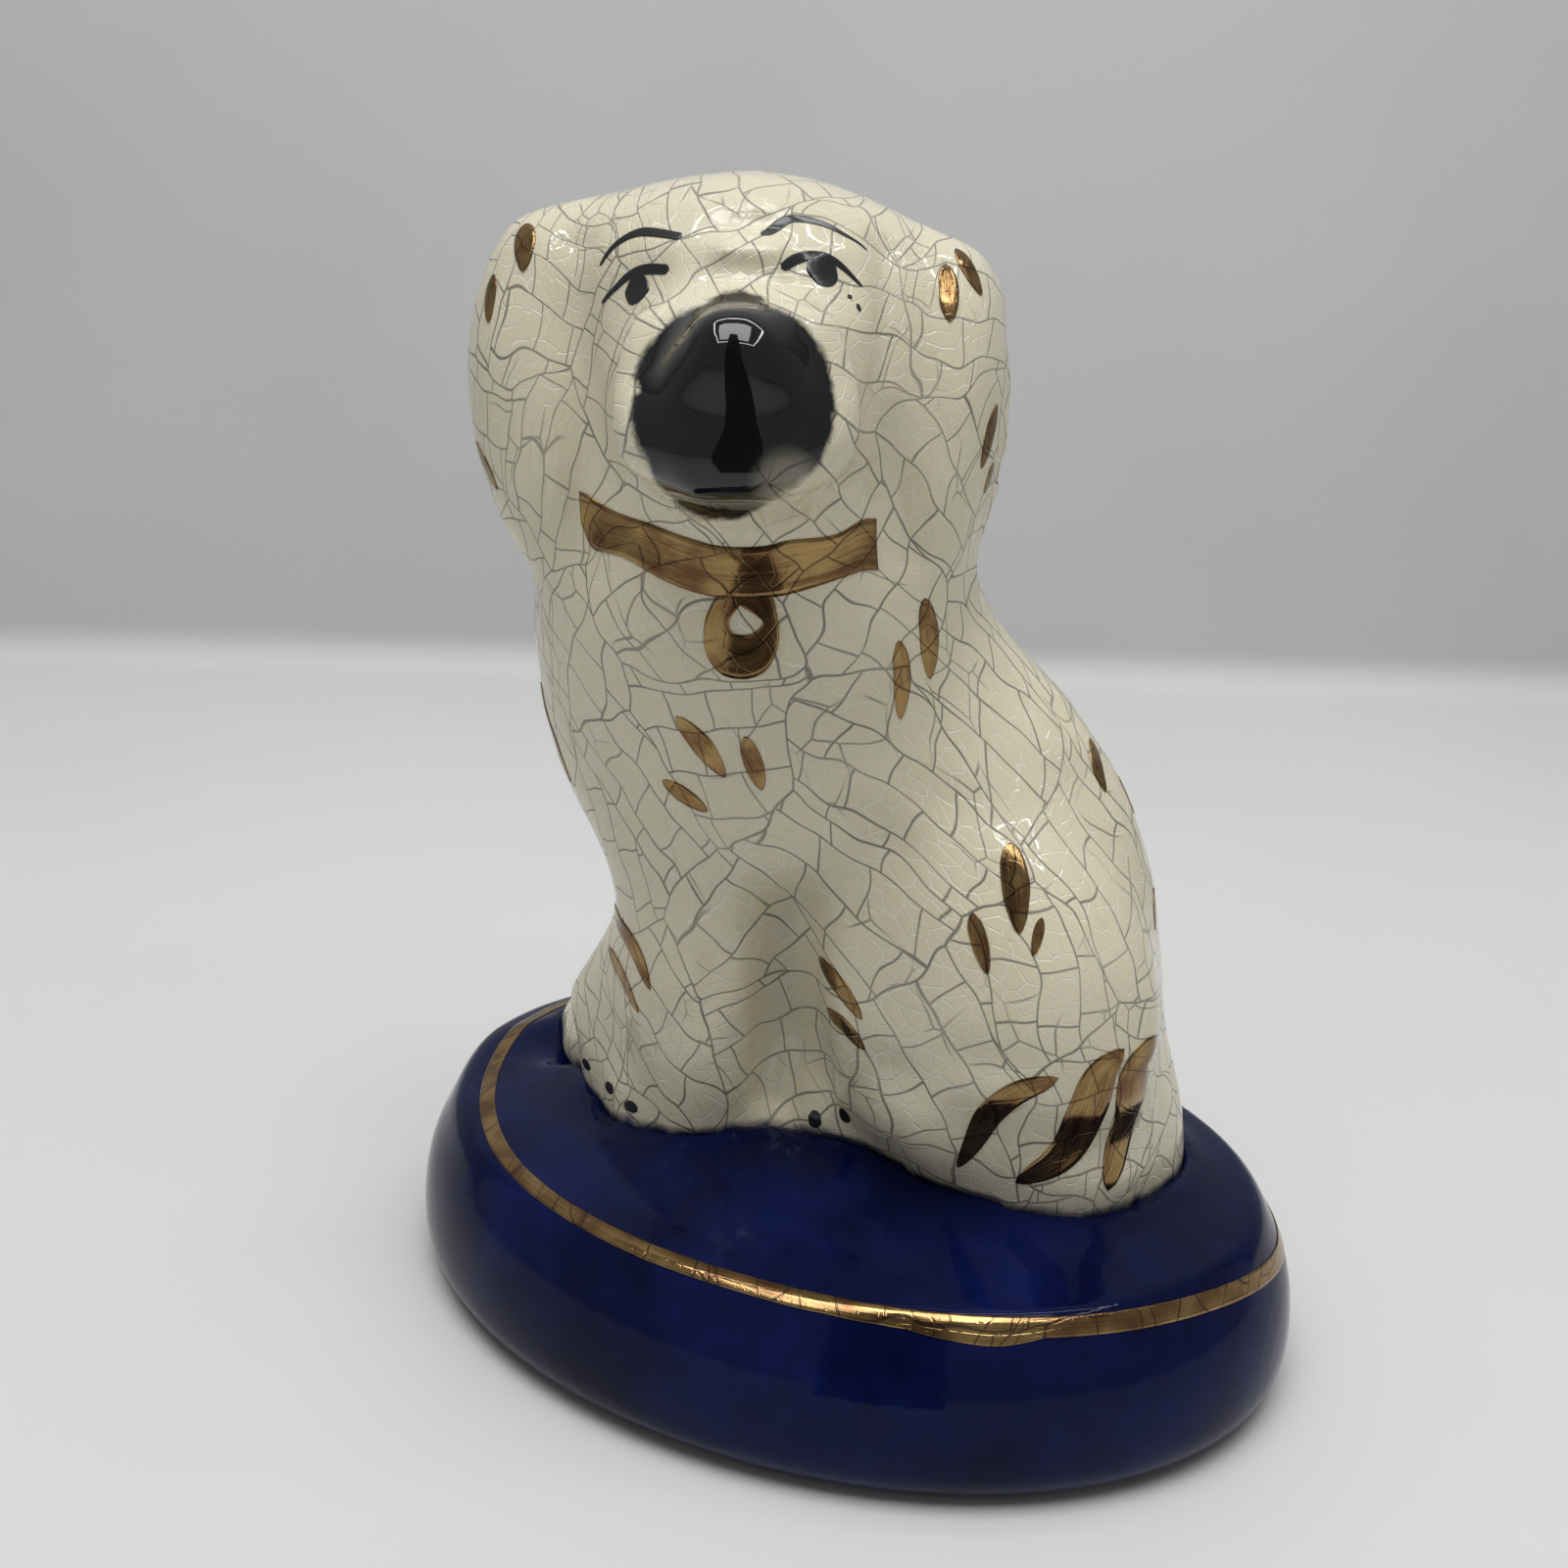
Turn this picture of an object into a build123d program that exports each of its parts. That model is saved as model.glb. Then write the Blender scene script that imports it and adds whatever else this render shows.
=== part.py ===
from build123d import *
import math
import os
from typing import NamedTuple

import numpy as np

os.makedirs("parts", exist_ok=True)

# Glazed earthenware dog figure on an oval cushion base.
# Sizes are in millimetres and degrees. The origin is the middle of the foot rim, Z is up,
# X runs along the cushion and the display side faces -Y.

# Cushion base
BASE_LENGTH = 109.0
BASE_WIDTH = 81.0
FOOT_INSET = 3.5
BULGE_HEIGHT = 5.5
SHOULDER_HEIGHT = 20.0
SHOULDER_INSET = 5.0
DOME_RISE = 4.0
BASE_WALL = 4.5
SEAT_SINK = 2.5
SEAT_WEB = 4.0
ROUNDING_POWER = 2.5

# Closing plate under the base
PLATE_THICKNESS = 3.0
PLATE_RECESS = 1.0
PLATE_GAP = 0.15
FOOT_RIM = 3.5
PLATE_LEDGE = 2.0
PLATE_VENT = 6.0
WEB_VENT = 8.0

# Dog body, and where the middle of its seat stands on the cushion
DOG_X = 2.0
DOG_Y = -3.0
BODY_WALL = 4.0
FOOT_RISE = 2.5
SEAT_GAP = 0.15
MOULD_SEAM = 2.0
CROWN_ROUND = 12.0
SECTION_POINTS = 48
SECTION_STEP = 4.0
REACH = 70.0
HALVINGS = 30

# Fired decoration
FILM = 0.2
FILM_DEPTH = 3.0
LINE_WIDTH = 1.2

SEAT_LEVEL = SHOULDER_HEIGHT - SEAT_SINK
FOOT_LEVEL = SHOULDER_HEIGHT + FOOT_RISE
HALF_LENGTH = BASE_LENGTH / 2
HALF_WIDTH = BASE_WIDTH / 2
MOULD_SEAM_Y = DOG_Y + MOULD_SEAM

# Places of the sections, as shares of the foot, the side, the dome and the crown
FOOT_SHARES = (0, 0.12, 0.3, 0.6, 1)
SIDE_SHARES = (0.3, 0.6, 0.85, 1)
DOME_SHARES = (0.08, 0.2, 0.4, 0.6, 0.8, 0.93, 0.985)
CROWN_SHARES = (0.88, 0.74, 0.6, 0.46, 0.32, 0.18, 0.08)


class Form(NamedTuple):
    """One rounded mass of the modelled animal, with its height taken from the feet."""

    at: tuple
    radii: tuple
    turn: float = 0.0
    lean: float = 0.0
    blend: float = 6.0


HEAD_TURN = 25.0

BODY_FORMS = {
    "chest": Form((-17.5, -2, 51), (20, 16, 28), lean=-14, blend=8),
    "trunk": Form((4.5, 6.5, 37.5), (22, 15, 33.5), lean=-46, blend=9),
    "rump": Form((22.5, 9, 3), (15, 14.5, 24.5), lean=-14.5, blend=8),
    "belly": Form((0, 7, 19.5), (20, 12, 22), blend=8),
    "left haunch": Form((18.5, -3.5, 19), (17.5, 10.5, 20.5), turn=5),
    "right haunch": Form((14, 15, 19.5), (17, 10, 20.5), turn=-8),
    "left foreleg": Form((-16.5, -6, 17), (9.5, 9, 28), lean=-3.5),
    "right foreleg": Form((-23.5, 1, 14), (8, 9.5, 28), lean=15, blend=5),
    "left forepaw": Form((-19.5, -6, 1), (8.5, 7, 6), turn=35, blend=4),
    "right forepaw": Form((-36, 5.5, -2.5), (9, 8.5, 5.5), turn=25, blend=4),
    "left hind paw": Form((4, -0.5, 0), (11.5, 5, 6), turn=-6, blend=5),
    "right hind paw": Form((2, 17, 0.5), (11, 5.5, 6), blend=5),
    "underside": Form((-4, 5, 0), (30, 11.5, 10)),
    "left hock": Form((21.5, -1.8, 2), (13, 8, 6), blend=5),
}

HEAD_FORMS = {
    "neck": Form((-10.5, -3.5, 64), (22, 17, 18), HEAD_TURN, blend=9),
    "skull": Form((-10, -6.5, 84.5), (17.5, 20.5, 19), HEAD_TURN),
    "crown": Form((-12, -4, 94), (25.5, 13.5, 10), HEAD_TURN, lean=3.5),
    "right ear": Form((-28, -12.5, 81), (11, 11, 20), HEAD_TURN, lean=-8.5, blend=3),
    "left ear": Form((6, 0.5, 79.5), (7.5, 11, 19), HEAD_TURN, lean=6, blend=3),
    "muzzle": Form((-3.5, -23.5, 84.5), (8.5, 9.5, 8.5), HEAD_TURN, blend=5),
    "right jowl": Form((-7.5, -25, 80.5), (5.5, 7, 5.5), HEAD_TURN, blend=3),
    "left jowl": Form((0.5, -21.5, 80.5), (5.5, 7, 5.5), HEAD_TURN, blend=3),
    "nose": Form((-0.5, -30.5, 89.5), (4.5, 3.5, 3), HEAD_TURN, blend=3),
}

FORMS = list(BODY_FORMS.values()) + list(HEAD_FORMS.values())

# Middle of the body from the feet to the crown: height above the feet, x and y.
SPINE = [(0, -2, 6), (35, -4, 3), (65, -10, -5), (90, -11, -5), (104, -12, -3)]


class Fleck(NamedTuple):
    """One brush touch: bearing round the body, height from the feet, length, width, slant."""

    bearing: float
    height: float
    length: float
    width: float
    slant: float


class Stroke(NamedTuple):
    """One curved brush line: bearing, height, and start, middle, end beside that point."""

    bearing: float
    height: float
    start: tuple
    middle: tuple
    end: tuple
    width: float


HEAD_FLECKS = [
    Fleck(-142, 97, 5.5, 2, 20),
    Fleck(-142.5, 92.5, 4.5, 1.2, 15),
    Fleck(-144.5, 76, 4.5, 1.2, 18),
    Fleck(-1.5, 94, 6, 2, -20),
    Fleck(5.5, 96, 5.5, 1.6, -25),
    Fleck(1.5, 81, 6, 1.2, -14),
    Fleck(4.5, 76, 2.8, 1, -10),
]
CHEST_FLECKS = [
    Fleck(-100.5, 49, 8, 2.1, 26),
    Fleck(-85, 47.5, 6.5, 1.9, 10),
    Fleck(-111, 43, 5.5, 1.6, 50),
    Fleck(-152.5, 46.5, 10, 1.6, 12),
]
SHOULDER_FLECKS = [Fleck(-9, 60.5, 8.5, 2.3, 11), Fleck(-21, 56.5, 8.5, 1.9, 11)]
LEG_FLECKS = [
    Fleck(-134.5, 23, 9, 1.9, 20),
    Fleck(-138, 17, 7, 1.4, 20),
    Fleck(-65.5, 21.5, 8.5, 1.9, 45),
    Fleck(-63.5, 16.5, 7, 1.6, 60),
]
HAUNCH_FLECKS = [
    Fleck(-25, 36, 9.5, 2.8, -15),
    Fleck(-34, 31, 6, 1.6, 0),
    Fleck(-26, 30.5, 4, 0.9, -20),
]
BACK_FLECKS = [Fleck(8, 46.5, 6, 1.4, -30), Fleck(6, 41, 4, 1, -30), Fleck(3, 31, 4.5, 0.8, -40)]

TAIL_STRIPES = [
    Stroke(-33, 14, (4.5, 4), (-0.5, 1), (-3.5, -8), 2.2),
    Stroke(-23, 12.5, (3.5, 8), (0, 0), (-4.5, -8), 3),
    Stroke(-14.5, 11, (1.5, 10), (0.5, 1), (-1, -8), 2.6),
]
EYELIDS = [
    Stroke(-106, 94.2, (-4.9, -2.2), (0, 0.6), (4.6, 0.9), 0.8),
    Stroke(-47, 96, (-3.6, -0.2), (-0.4, 0.9), (4, -1.4), 0.8),
]
BROWS = [
    Stroke(-113, 98, (-4.5, -1.9), (-1.6, 0.7), (5.4, 0.8), 0.8),
    Stroke(-46, 99.2, (-4.3, -0.5), (-0.6, 0.9), (4.4, -0.9), 0.8),
]


class Pupil(NamedTuple):
    """Dark of an eye, placed beside the middle of its lid line."""

    across: float
    rise: float
    width: float
    length: float


PUPILS = [Pupil(1.7, -0.7, 2.4, 3), Pupil(0, -0.8, 2.8, 3.2)]
CLAWS = [
    Fleck(-164, 1, 1.5, 1.3, 0),
    Fleck(-143, 3, 1.5, 1.4, 0),
    Fleck(-134.5, 2.7, 1.6, 1.5, 0),
    Fleck(-82, 3, 1.8, 1.5, 0),
    Fleck(-66.5, 4.4, 1.8, 1.5, 0),
]
MUZZLE = Fleck(-69.5, 84, 18, 17.5, 0)
MUZZLE_DEPTH = 13.0
COLLAR = Stroke(-72, 70.5, (-16, 1.7), (0, -2.7), (13.5, 0.6), 5.4)
COLLAR_DEPTH = 12.0
LOCKET = Fleck(-74, 61.5, 9.2, 7.6, 0)
LOCKET_EYE = 2.6
LOCKET_EYE_RISE = 1.8


def to_form(points, form):
    """Points seen from the form's own middle and axes."""
    turn = math.radians(form.turn)
    lean = math.radians(form.lean)
    x = points[..., 0] - DOG_X - form.at[0]
    y = points[..., 1] - DOG_Y - form.at[1]
    z = points[..., 2] - FOOT_LEVEL - form.at[2]
    along = x * math.cos(turn) + y * math.sin(turn)
    across = y * math.cos(turn) - x * math.sin(turn)
    return np.stack(
        [
            along * math.cos(lean) - z * math.sin(lean),
            across,
            z * math.cos(lean) + along * math.sin(lean),
        ],
        axis=-1,
    )


def form_distance(points, form):
    """Distance outside one form, near its surface."""
    local = to_form(points, form)
    radii = np.array(form.radii, dtype=float)
    reach = np.sqrt(((local / radii) ** 2).sum(axis=-1)) + 1e-9
    slope = np.sqrt(((local / radii**2) ** 2).sum(axis=-1)) + 1e-9
    return reach * (reach - 1) / slope


def body_distance(points):
    """Distance outside the whole animal, whose masses run softly into each other."""
    result = form_distance(points, FORMS[0])
    for form in FORMS[1:]:
        other = form_distance(points, form)
        share = np.clip(0.5 + 0.5 * (other - result) / form.blend, 0, 1)
        result = other * (1 - share) + result * share - form.blend * share * (1 - share)
    return result


def spine_at(level):
    """Middle of the body at a level."""
    heights = [row[0] for row in SPINE]
    above = level - FOOT_LEVEL
    x = np.interp(above, heights, [row[1] for row in SPINE])
    y = np.interp(above, heights, [row[2] for row in SPINE])
    return DOG_X + float(x), DOG_Y + float(y)


def body_radii(level, bearings, grow=0.0):
    """Reach of the body from its middle along each bearing, made larger by grow."""
    x, y = spine_at(level)
    bearings = np.radians(np.asarray(bearings, dtype=float))
    inner = np.zeros(len(bearings))
    outer = np.full(len(bearings), REACH)
    for _ in range(HALVINGS):
        middle = (inner + outer) / 2
        points = np.stack(
            [
                x + middle * np.cos(bearings),
                y + middle * np.sin(bearings),
                np.full(len(bearings), max(level, FOOT_LEVEL)),
            ],
            axis=-1,
        )
        inside = body_distance(points) < grow
        inner = np.where(inside, middle, inner)
        outer = np.where(inside, outer, middle)
    return (inner + outer) / 2


def body_top(grow=0.0):
    """Level at which the middle of the body leaves the crown."""
    low = FOOT_LEVEL
    high = FOOT_LEVEL + 2 * REACH
    for _ in range(HALVINGS):
        level = (low + high) / 2
        x, y = spine_at(level)
        inside = body_distance(np.array([[x, y, level]]))[0] < grow
        low, high = (level, high) if inside else (low, level)
    return low


def body_section(level, grow):
    """Closed outline of the body at a level."""
    bearings = np.arange(SECTION_POINTS) * 360 / SECTION_POINTS
    radii = body_radii(level, bearings, grow)
    x, y = spine_at(level)
    points = [
        (x + r * math.cos(math.radians(b)), y + r * math.sin(math.radians(b)), level)
        for b, r in zip(bearings, radii)
    ]
    steps = list(np.linspace(0, 1, SECTION_POINTS + 1))
    return Wire([Edge.make_spline(points, periodic=True, parameters=steps)])


def body_solid(grow=0.0):
    """The animal from its seat to its crown as one filled form."""
    top = body_top(grow)
    round_top = min(CROWN_ROUND, (top - FOOT_LEVEL) / 4)
    straight = max(8, round((top - round_top - FOOT_LEVEL) / SECTION_STEP))
    levels = [SEAT_LEVEL, (SEAT_LEVEL + FOOT_LEVEL) / 2]
    levels += list(np.linspace(FOOT_LEVEL, top - round_top, straight))
    levels += [top - round_top * share**2 for share in CROWN_SHARES]
    sections = [body_section(float(level), grow) for level in levels]
    x, y = spine_at(top)
    return Solid.make_loft(sections + [Vertex(x, y, top)])


def base_inset(level):
    """Inward step of the cushion's side from its widest line."""
    if level < BULGE_HEIGHT:
        return FOOT_INSET * ((BULGE_HEIGHT - level) / BULGE_HEIGHT) ** ROUNDING_POWER
    rise = SHOULDER_HEIGHT - BULGE_HEIGHT
    return SHOULDER_INSET * ((level - BULGE_HEIGHT) / rise) ** ROUNDING_POWER


def oval(half_length, half_width, level):
    """Oval outline at a level."""
    return Wire([Edge.make_ellipse(half_length, half_width, Plane((0, 0, level)))])


def cushion_solid(grow=0.0):
    """The cushion as one filled form: rounded side and gently domed top."""
    sections = []
    for share in FOOT_SHARES:
        level = BULGE_HEIGHT * share
        inset = base_inset(level) - grow
        sections.append(oval(HALF_LENGTH - inset, HALF_WIDTH - inset, level))
    for share in SIDE_SHARES:
        level = BULGE_HEIGHT + (SHOULDER_HEIGHT - BULGE_HEIGHT) * share
        inset = base_inset(level) - grow
        sections.append(oval(HALF_LENGTH - inset, HALF_WIDTH - inset, level))
    for share in DOME_SHARES:
        level = SHOULDER_HEIGHT + DOME_RISE * share
        shrink = math.sqrt(1 - share)
        length = (HALF_LENGTH - SHOULDER_INSET + grow) * shrink
        width = (HALF_WIDTH - SHOULDER_INSET + grow) * shrink
        sections.append(oval(length, width, level))
    return Solid.make_loft(sections)


def cushion_base(cushion):
    """Hollow cushion with a seat for the dog above and a rebate for the plate below."""
    rebate_top = PLATE_RECESS + PLATE_THICKNESS
    step = FOOT_INSET + FOOT_RIM
    rebate = Solid.make_loft(
        [
            oval(HALF_LENGTH - step, HALF_WIDTH - step, 0),
            oval(HALF_LENGTH - step, HALF_WIDTH - step, rebate_top),
        ]
    )
    ceiling = SEAT_LEVEL - SEAT_WEB
    insets = (step + PLATE_LEDGE, BASE_WALL, BASE_WALL + base_inset(ceiling) + PLATE_LEDGE)
    levels = (rebate_top, (rebate_top + ceiling) / 2, ceiling)
    cavity = Solid.make_loft(
        [oval(HALF_LENGTH - i, HALF_WIDTH - i, z) for i, z in zip(insets, levels)]
    )
    x, y = spine_at(SEAT_LEVEL)
    vent = Pos(x, y, ceiling - BASE_WALL) * Cylinder(
        WEB_VENT / 2, SEAT_WEB + 2 * BASE_WALL, align=(Align.CENTER, Align.CENTER, Align.MIN)
    )
    return cushion - rebate - cavity - vent - body_solid(SEAT_GAP)


def base_plate():
    """Flat biscuit plate that closes the base, with the firing vent through it."""
    step = FOOT_INSET + FOOT_RIM + PLATE_GAP
    outline = Ellipse(HALF_LENGTH - step, HALF_WIDTH - step) - Circle(PLATE_VENT / 2)
    return Pos(0, 0, PLATE_RECESS) * extrude(outline, PLATE_THICKNESS)


def body_halves(skin):
    """Front and back mould halves of the hollow dog, which meet on the mould seam."""
    shell = skin - body_solid(-BODY_WALL)
    size = 4 * REACH
    corner = (Align.CENTER, Align.MAX, Align.CENTER)
    front = shell & (Pos(0, MOULD_SEAM_Y, 0) * Box(size, size, size, align=corner))
    corner = (Align.CENTER, Align.MIN, Align.CENTER)
    back = shell & (Pos(0, MOULD_SEAM_Y, 0) * Box(size, size, size, align=corner))
    return front, back


def surface_plane(bearing, height, depth):
    """Plane facing outwards, set inside the body below a point of its surface."""
    level = FOOT_LEVEL + height
    x, y = spine_at(level)
    reach = float(body_radii(level, [bearing])[0]) - depth
    angle = math.radians(bearing)
    outward = (math.cos(angle), math.sin(angle), 0)
    across = (-math.sin(angle), math.cos(angle), 0)
    return Plane((x + reach * outward[0], y + reach * outward[1], level), across, outward)


def film(coat, bearing, height, outline, depth=FILM_DEPTH):
    """The part of the outer coat that lies under an outline."""
    prism = extrude(surface_plane(bearing, height, depth) * outline, 2 * depth)
    return coat & prism


def fleck_outline(fleck):
    """Oval brush touch."""
    return Rot(0, 0, fleck.slant) * Ellipse(fleck.width / 2, fleck.length / 2)


def stroke_outline(stroke):
    """Curved brush line with round ends."""
    return SlotArc(ThreePointArc(stroke.start, stroke.middle, stroke.end), stroke.width)


def fleck_films(coat, flecks):
    """Films of several brush touches."""
    return [film(coat, f.bearing, f.height, fleck_outline(f)) for f in flecks]


def stroke_films(coat, strokes):
    """Films of several curved brush lines."""
    return [film(coat, s.bearing, s.height, stroke_outline(s)) for s in strokes]


def eye_films(coat):
    """Pupils with the lid line above each, painted as one touch."""
    films = []
    for pupil, lid in zip(PUPILS, EYELIDS):
        dark = Pos(pupil.across, pupil.rise) * Ellipse(pupil.width / 2, pupil.length / 2)
        films.append(film(coat, lid.bearing, lid.height, stroke_outline(lid) + dark))
    return films


def locket_film(coat):
    """Oval locket with an unpainted eye."""
    eye = Pos(0, LOCKET_EYE_RISE) * Circle(LOCKET_EYE / 2)
    return film(coat, LOCKET.bearing, LOCKET.height, fleck_outline(LOCKET) - eye)


def collar_film(coat, locket):
    """Collar band across the throat, cut back where the locket starts."""
    band = film(coat, COLLAR.bearing, COLLAR.height, stroke_outline(COLLAR), COLLAR_DEPTH)
    return band - locket


def base_line(cushion):
    """Painted line on the shoulder of the cushion."""
    rise = LINE_WIDTH / math.sqrt(2)
    slab = Pos(0, 0, SHOULDER_HEIGHT) * Box(2 * BASE_LENGTH, 2 * BASE_LENGTH, rise)
    return (cushion_solid(FILM) & slab) - cushion


def save(node, solids):
    """Write one node, a single solid or a group of separate solids."""
    solids = [solid for shape in solids for solid in shape.solids()]
    shape = solids[0] if len(solids) == 1 else Compound(children=solids)
    export_step(shape, f"parts/{node}.step")


def main():
    skin = body_solid()
    coat = body_solid(FILM) - skin
    cushion = cushion_solid()
    front, back = body_halves(skin)
    locket = locket_film(coat)
    save("front_body_half", [front])
    save("back_body_half", [back])
    save("cushion_base", [cushion_base(cushion)])
    save("base_plate", [base_plate()])
    save("muzzle_enamel", [film(coat, MUZZLE.bearing, MUZZLE.height, fleck_outline(MUZZLE), MUZZLE_DEPTH)])
    save("eye_enamel", eye_films(coat))
    save("brow_enamel", stroke_films(coat, BROWS))
    save("claw_enamel", fleck_films(coat, CLAWS))
    save("collar_gilding", [collar_film(coat, locket)])
    save("locket_gilding", [locket])
    save("head_flecks", fleck_films(coat, HEAD_FLECKS))
    save("chest_flecks", fleck_films(coat, CHEST_FLECKS))
    save("shoulder_flecks", fleck_films(coat, SHOULDER_FLECKS))
    save("leg_flecks", fleck_films(coat, LEG_FLECKS))
    save("haunch_flecks", fleck_films(coat, HAUNCH_FLECKS))
    save("back_flecks", fleck_films(coat, BACK_FLECKS))
    save("tail_stripes", stroke_films(coat, TAIL_STRIPES))
    save("base_line_gilding", [base_line(cushion)])


main()
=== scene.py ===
import math

import bmesh
import bpy
import numpy as np
from mathutils import Matrix, Vector, noise
from mathutils.bvhtree import BVHTree


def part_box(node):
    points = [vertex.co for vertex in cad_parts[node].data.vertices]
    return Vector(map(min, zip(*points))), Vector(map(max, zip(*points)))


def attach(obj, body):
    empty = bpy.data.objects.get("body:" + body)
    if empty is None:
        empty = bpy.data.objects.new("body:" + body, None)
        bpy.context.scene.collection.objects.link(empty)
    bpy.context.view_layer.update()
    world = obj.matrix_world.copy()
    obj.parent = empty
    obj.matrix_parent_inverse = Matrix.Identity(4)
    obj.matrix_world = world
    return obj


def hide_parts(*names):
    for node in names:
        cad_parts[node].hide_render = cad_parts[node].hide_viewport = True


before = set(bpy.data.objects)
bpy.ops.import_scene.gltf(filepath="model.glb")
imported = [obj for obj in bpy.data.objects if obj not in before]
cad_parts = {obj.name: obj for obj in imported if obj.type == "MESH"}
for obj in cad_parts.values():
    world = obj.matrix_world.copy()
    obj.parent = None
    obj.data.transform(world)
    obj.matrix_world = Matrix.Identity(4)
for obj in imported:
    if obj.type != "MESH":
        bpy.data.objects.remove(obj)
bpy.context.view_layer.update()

bl_info = {
    "name": "Seated Dog Figure",
    "version": (1, 0, 0),
    "blender": (4, 5, 0),
    "location": "View3D > Sidebar > Dog Figure",
    "description": "Glazed earthenware dog with painted face and gilding on a blue cushion base",
    "category": "Object",
}

MM = 0.001

# The camera of the photograph, in the frame of the figure.
IMAGE_SIZE = 1600
FOCAL_PIXELS = 1604.0
CAMERA_PLACE = Vector((0.0649, -0.1588, 0.1155))
CAMERA_BEARING = 24.8
CAMERA_PITCH = 17.1
CAMERA_ROLL = 1.45

# Black brush lines, as points of the 1600 x 1600 picture with half widths in millimetres.
LIDS = [
    [(614, 310, 0.16), (628, 294, 0.28), (643, 281, 0.4), (659, 275, 0.5), (683, 275, 0.5)],
    [(797, 274, 0.45), (813, 264, 0.5), (832, 261, 0.45), (855, 269, 0.3), (880, 293, 0.14)],
]
BROWS = [
    [(612, 272, 0.14), (628, 250, 0.3), (647, 239, 0.48), (664, 237, 0.52), (696, 242, 0.48)],
    [(777, 240, 0.55), (800, 226, 0.55), (819, 224, 0.45), (843, 230, 0.34), (864, 241, 0.22), (885, 256, 0.1)],
]

# Black dots: place in the picture, width and length in millimetres.
PUPILS = [(650, 296, 2.8, 3.0), (839, 277, 3.1, 3.3), (867, 303, 0.5, 0.5), (876, 314, 0.5, 0.8)]
CLAWS = [
    (598, 1086, 2.0, 1.4),
    (622, 1110, 1.9, 1.4),
    (644, 1129, 2.2, 1.4),
    (831, 1142, 1.8, 2.2),
    (862, 1138, 1.7, 2.0),
]

# The black of the muzzle: its middle in the picture, then places across and up from there
# with their reach, and the thin place in it, in millimetres.
MUZZLE_MIDDLE = (750, 408)
MUZZLE_FORM = [(0, 5.2, 4.3), (-0.2, -0.4, 9.1), (-1.3, -5.0, 6.2)]
MUZZLE_THIN = (4.6, -7.1, 3.2)
MUZZLE_DEPTH = 17.0

# Gold touches: points of the picture, widest width, place of the widest point along the touch.
HEAD_TOUCHES = [
    ([(536, 229), (535, 252), (534, 278)], 2.4, 0.35),
    ([(505, 280), (500, 304), (499, 330)], 1.7, 0.4),
    ([(486, 450), (496, 474), (508, 500)], 1.6, 0.5),
    ([(965, 270), (968, 298), (969, 329)], 2.1, 0.4),
    ([(975, 254), (989, 277), (1001, 302)], 1.9, 0.45),
    ([(1017, 412), (1010, 444), (1001, 478)], 1.8, 0.45),
    ([(1013, 472), (1009, 488), (1004, 503)], 1.2, 0.5),
]
CHEST_TOUCHES = [
    ([(690, 731), (713, 757), (740, 793)], 2.3, 0.4),
    ([(760, 751), (768, 778), (778, 806)], 2.0, 0.45),
    ([(676, 796), (698, 811), (722, 828)], 1.9, 0.4),
    ([(549, 696), (562, 742), (583, 798)], 2.4, 0.45),
]
SHOULDER_TOUCHES = [
    ([(943, 610), (948, 650), (949, 693)], 2.4, 0.4),
    ([(917, 653), (920, 692), (919, 734)], 2.0, 0.4),
]
LEG_TOUCHES = [
    ([(626, 922), (645, 964), (664, 1010)], 2.2, 0.45),
    ([(622, 966), (636, 998), (652, 1033)], 1.8, 0.45),
    ([(836, 977), (856, 1005), (880, 1040)], 2.2, 0.4),
    ([(844, 1029), (862, 1047), (883, 1071)], 1.9, 0.45),
]
HAUNCH_TOUCHES = [
    ([(1030, 860), (1036, 905), (1040, 954)], 2.8, 0.35),
    ([(992, 931), (999, 961), (1008, 994)], 1.8, 0.4),
    ([(1063, 936), (1059, 955), (1054, 976)], 1.1, 0.4),
]
BACK_TOUCHES = [
    ([(1112, 753), (1119, 780), (1128, 809)], 1.9, 0.45),
    ([(1144, 791), (1151, 810), (1158, 830)], 1.6, 0.5),
    ([(1177, 906), (1178, 928), (1179, 949)], 1.2, 0.5),
]
TAIL_TOUCHES = [
    ([(1080, 1100), (1040, 1114), (1012, 1134), (996, 1160), (977, 1191)], 2.8, 0.35),
    ([(1147, 1070), (1125, 1095), (1108, 1135), (1086, 1176), (1036, 1207)], 4.6, 0.4),
    ([(1180, 1056), (1160, 1090), (1152, 1140), (1130, 1215)], 5.0, 0.45),
]
COLLAR_TOP = [
    (591, 501), (626, 521), (666, 535), (713, 552), (733, 557),
    (780, 557), (807, 551), (853, 545), (878, 531), (894, 529),
]
COLLAR_FOOT = [
    (593, 534), (605, 559), (637, 569), (686, 596), (731, 609),
    (790, 609), (831, 599), (878, 583), (896, 582),
]
LOCKET_RIM = [
    (760, 604), (786, 607), (793, 628), (795, 650), (790, 671), (778, 687), (757, 693),
    (735, 687), (722, 670), (718, 648), (722, 625), (735, 606), (760, 604),
]
LOCKET_HOLE = [(755, 618), (778, 634), (766, 647), (749, 646), (744, 634), (755, 618)]
BASE_LINE = [
    (506, 1086), (500, 1124), (504, 1159), (519, 1186), (540, 1209), (566, 1227), (598, 1244),
    (639, 1268), (695, 1291), (748, 1305), (807, 1321), (865, 1337), (924, 1345), (968, 1350),
    (1012, 1354), (1056, 1355), (1100, 1352), (1144, 1349), (1188, 1340), (1232, 1325),
    (1270, 1313), (1291, 1300), (1305, 1280), (1310, 1265),
]
LINE_EASING = 20
BASE_OVERLAP = [([(912, 1351), (960, 1361), (1010, 1368), (1055, 1364), (1088, 1355)], 1.0, 0.5)]

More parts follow.
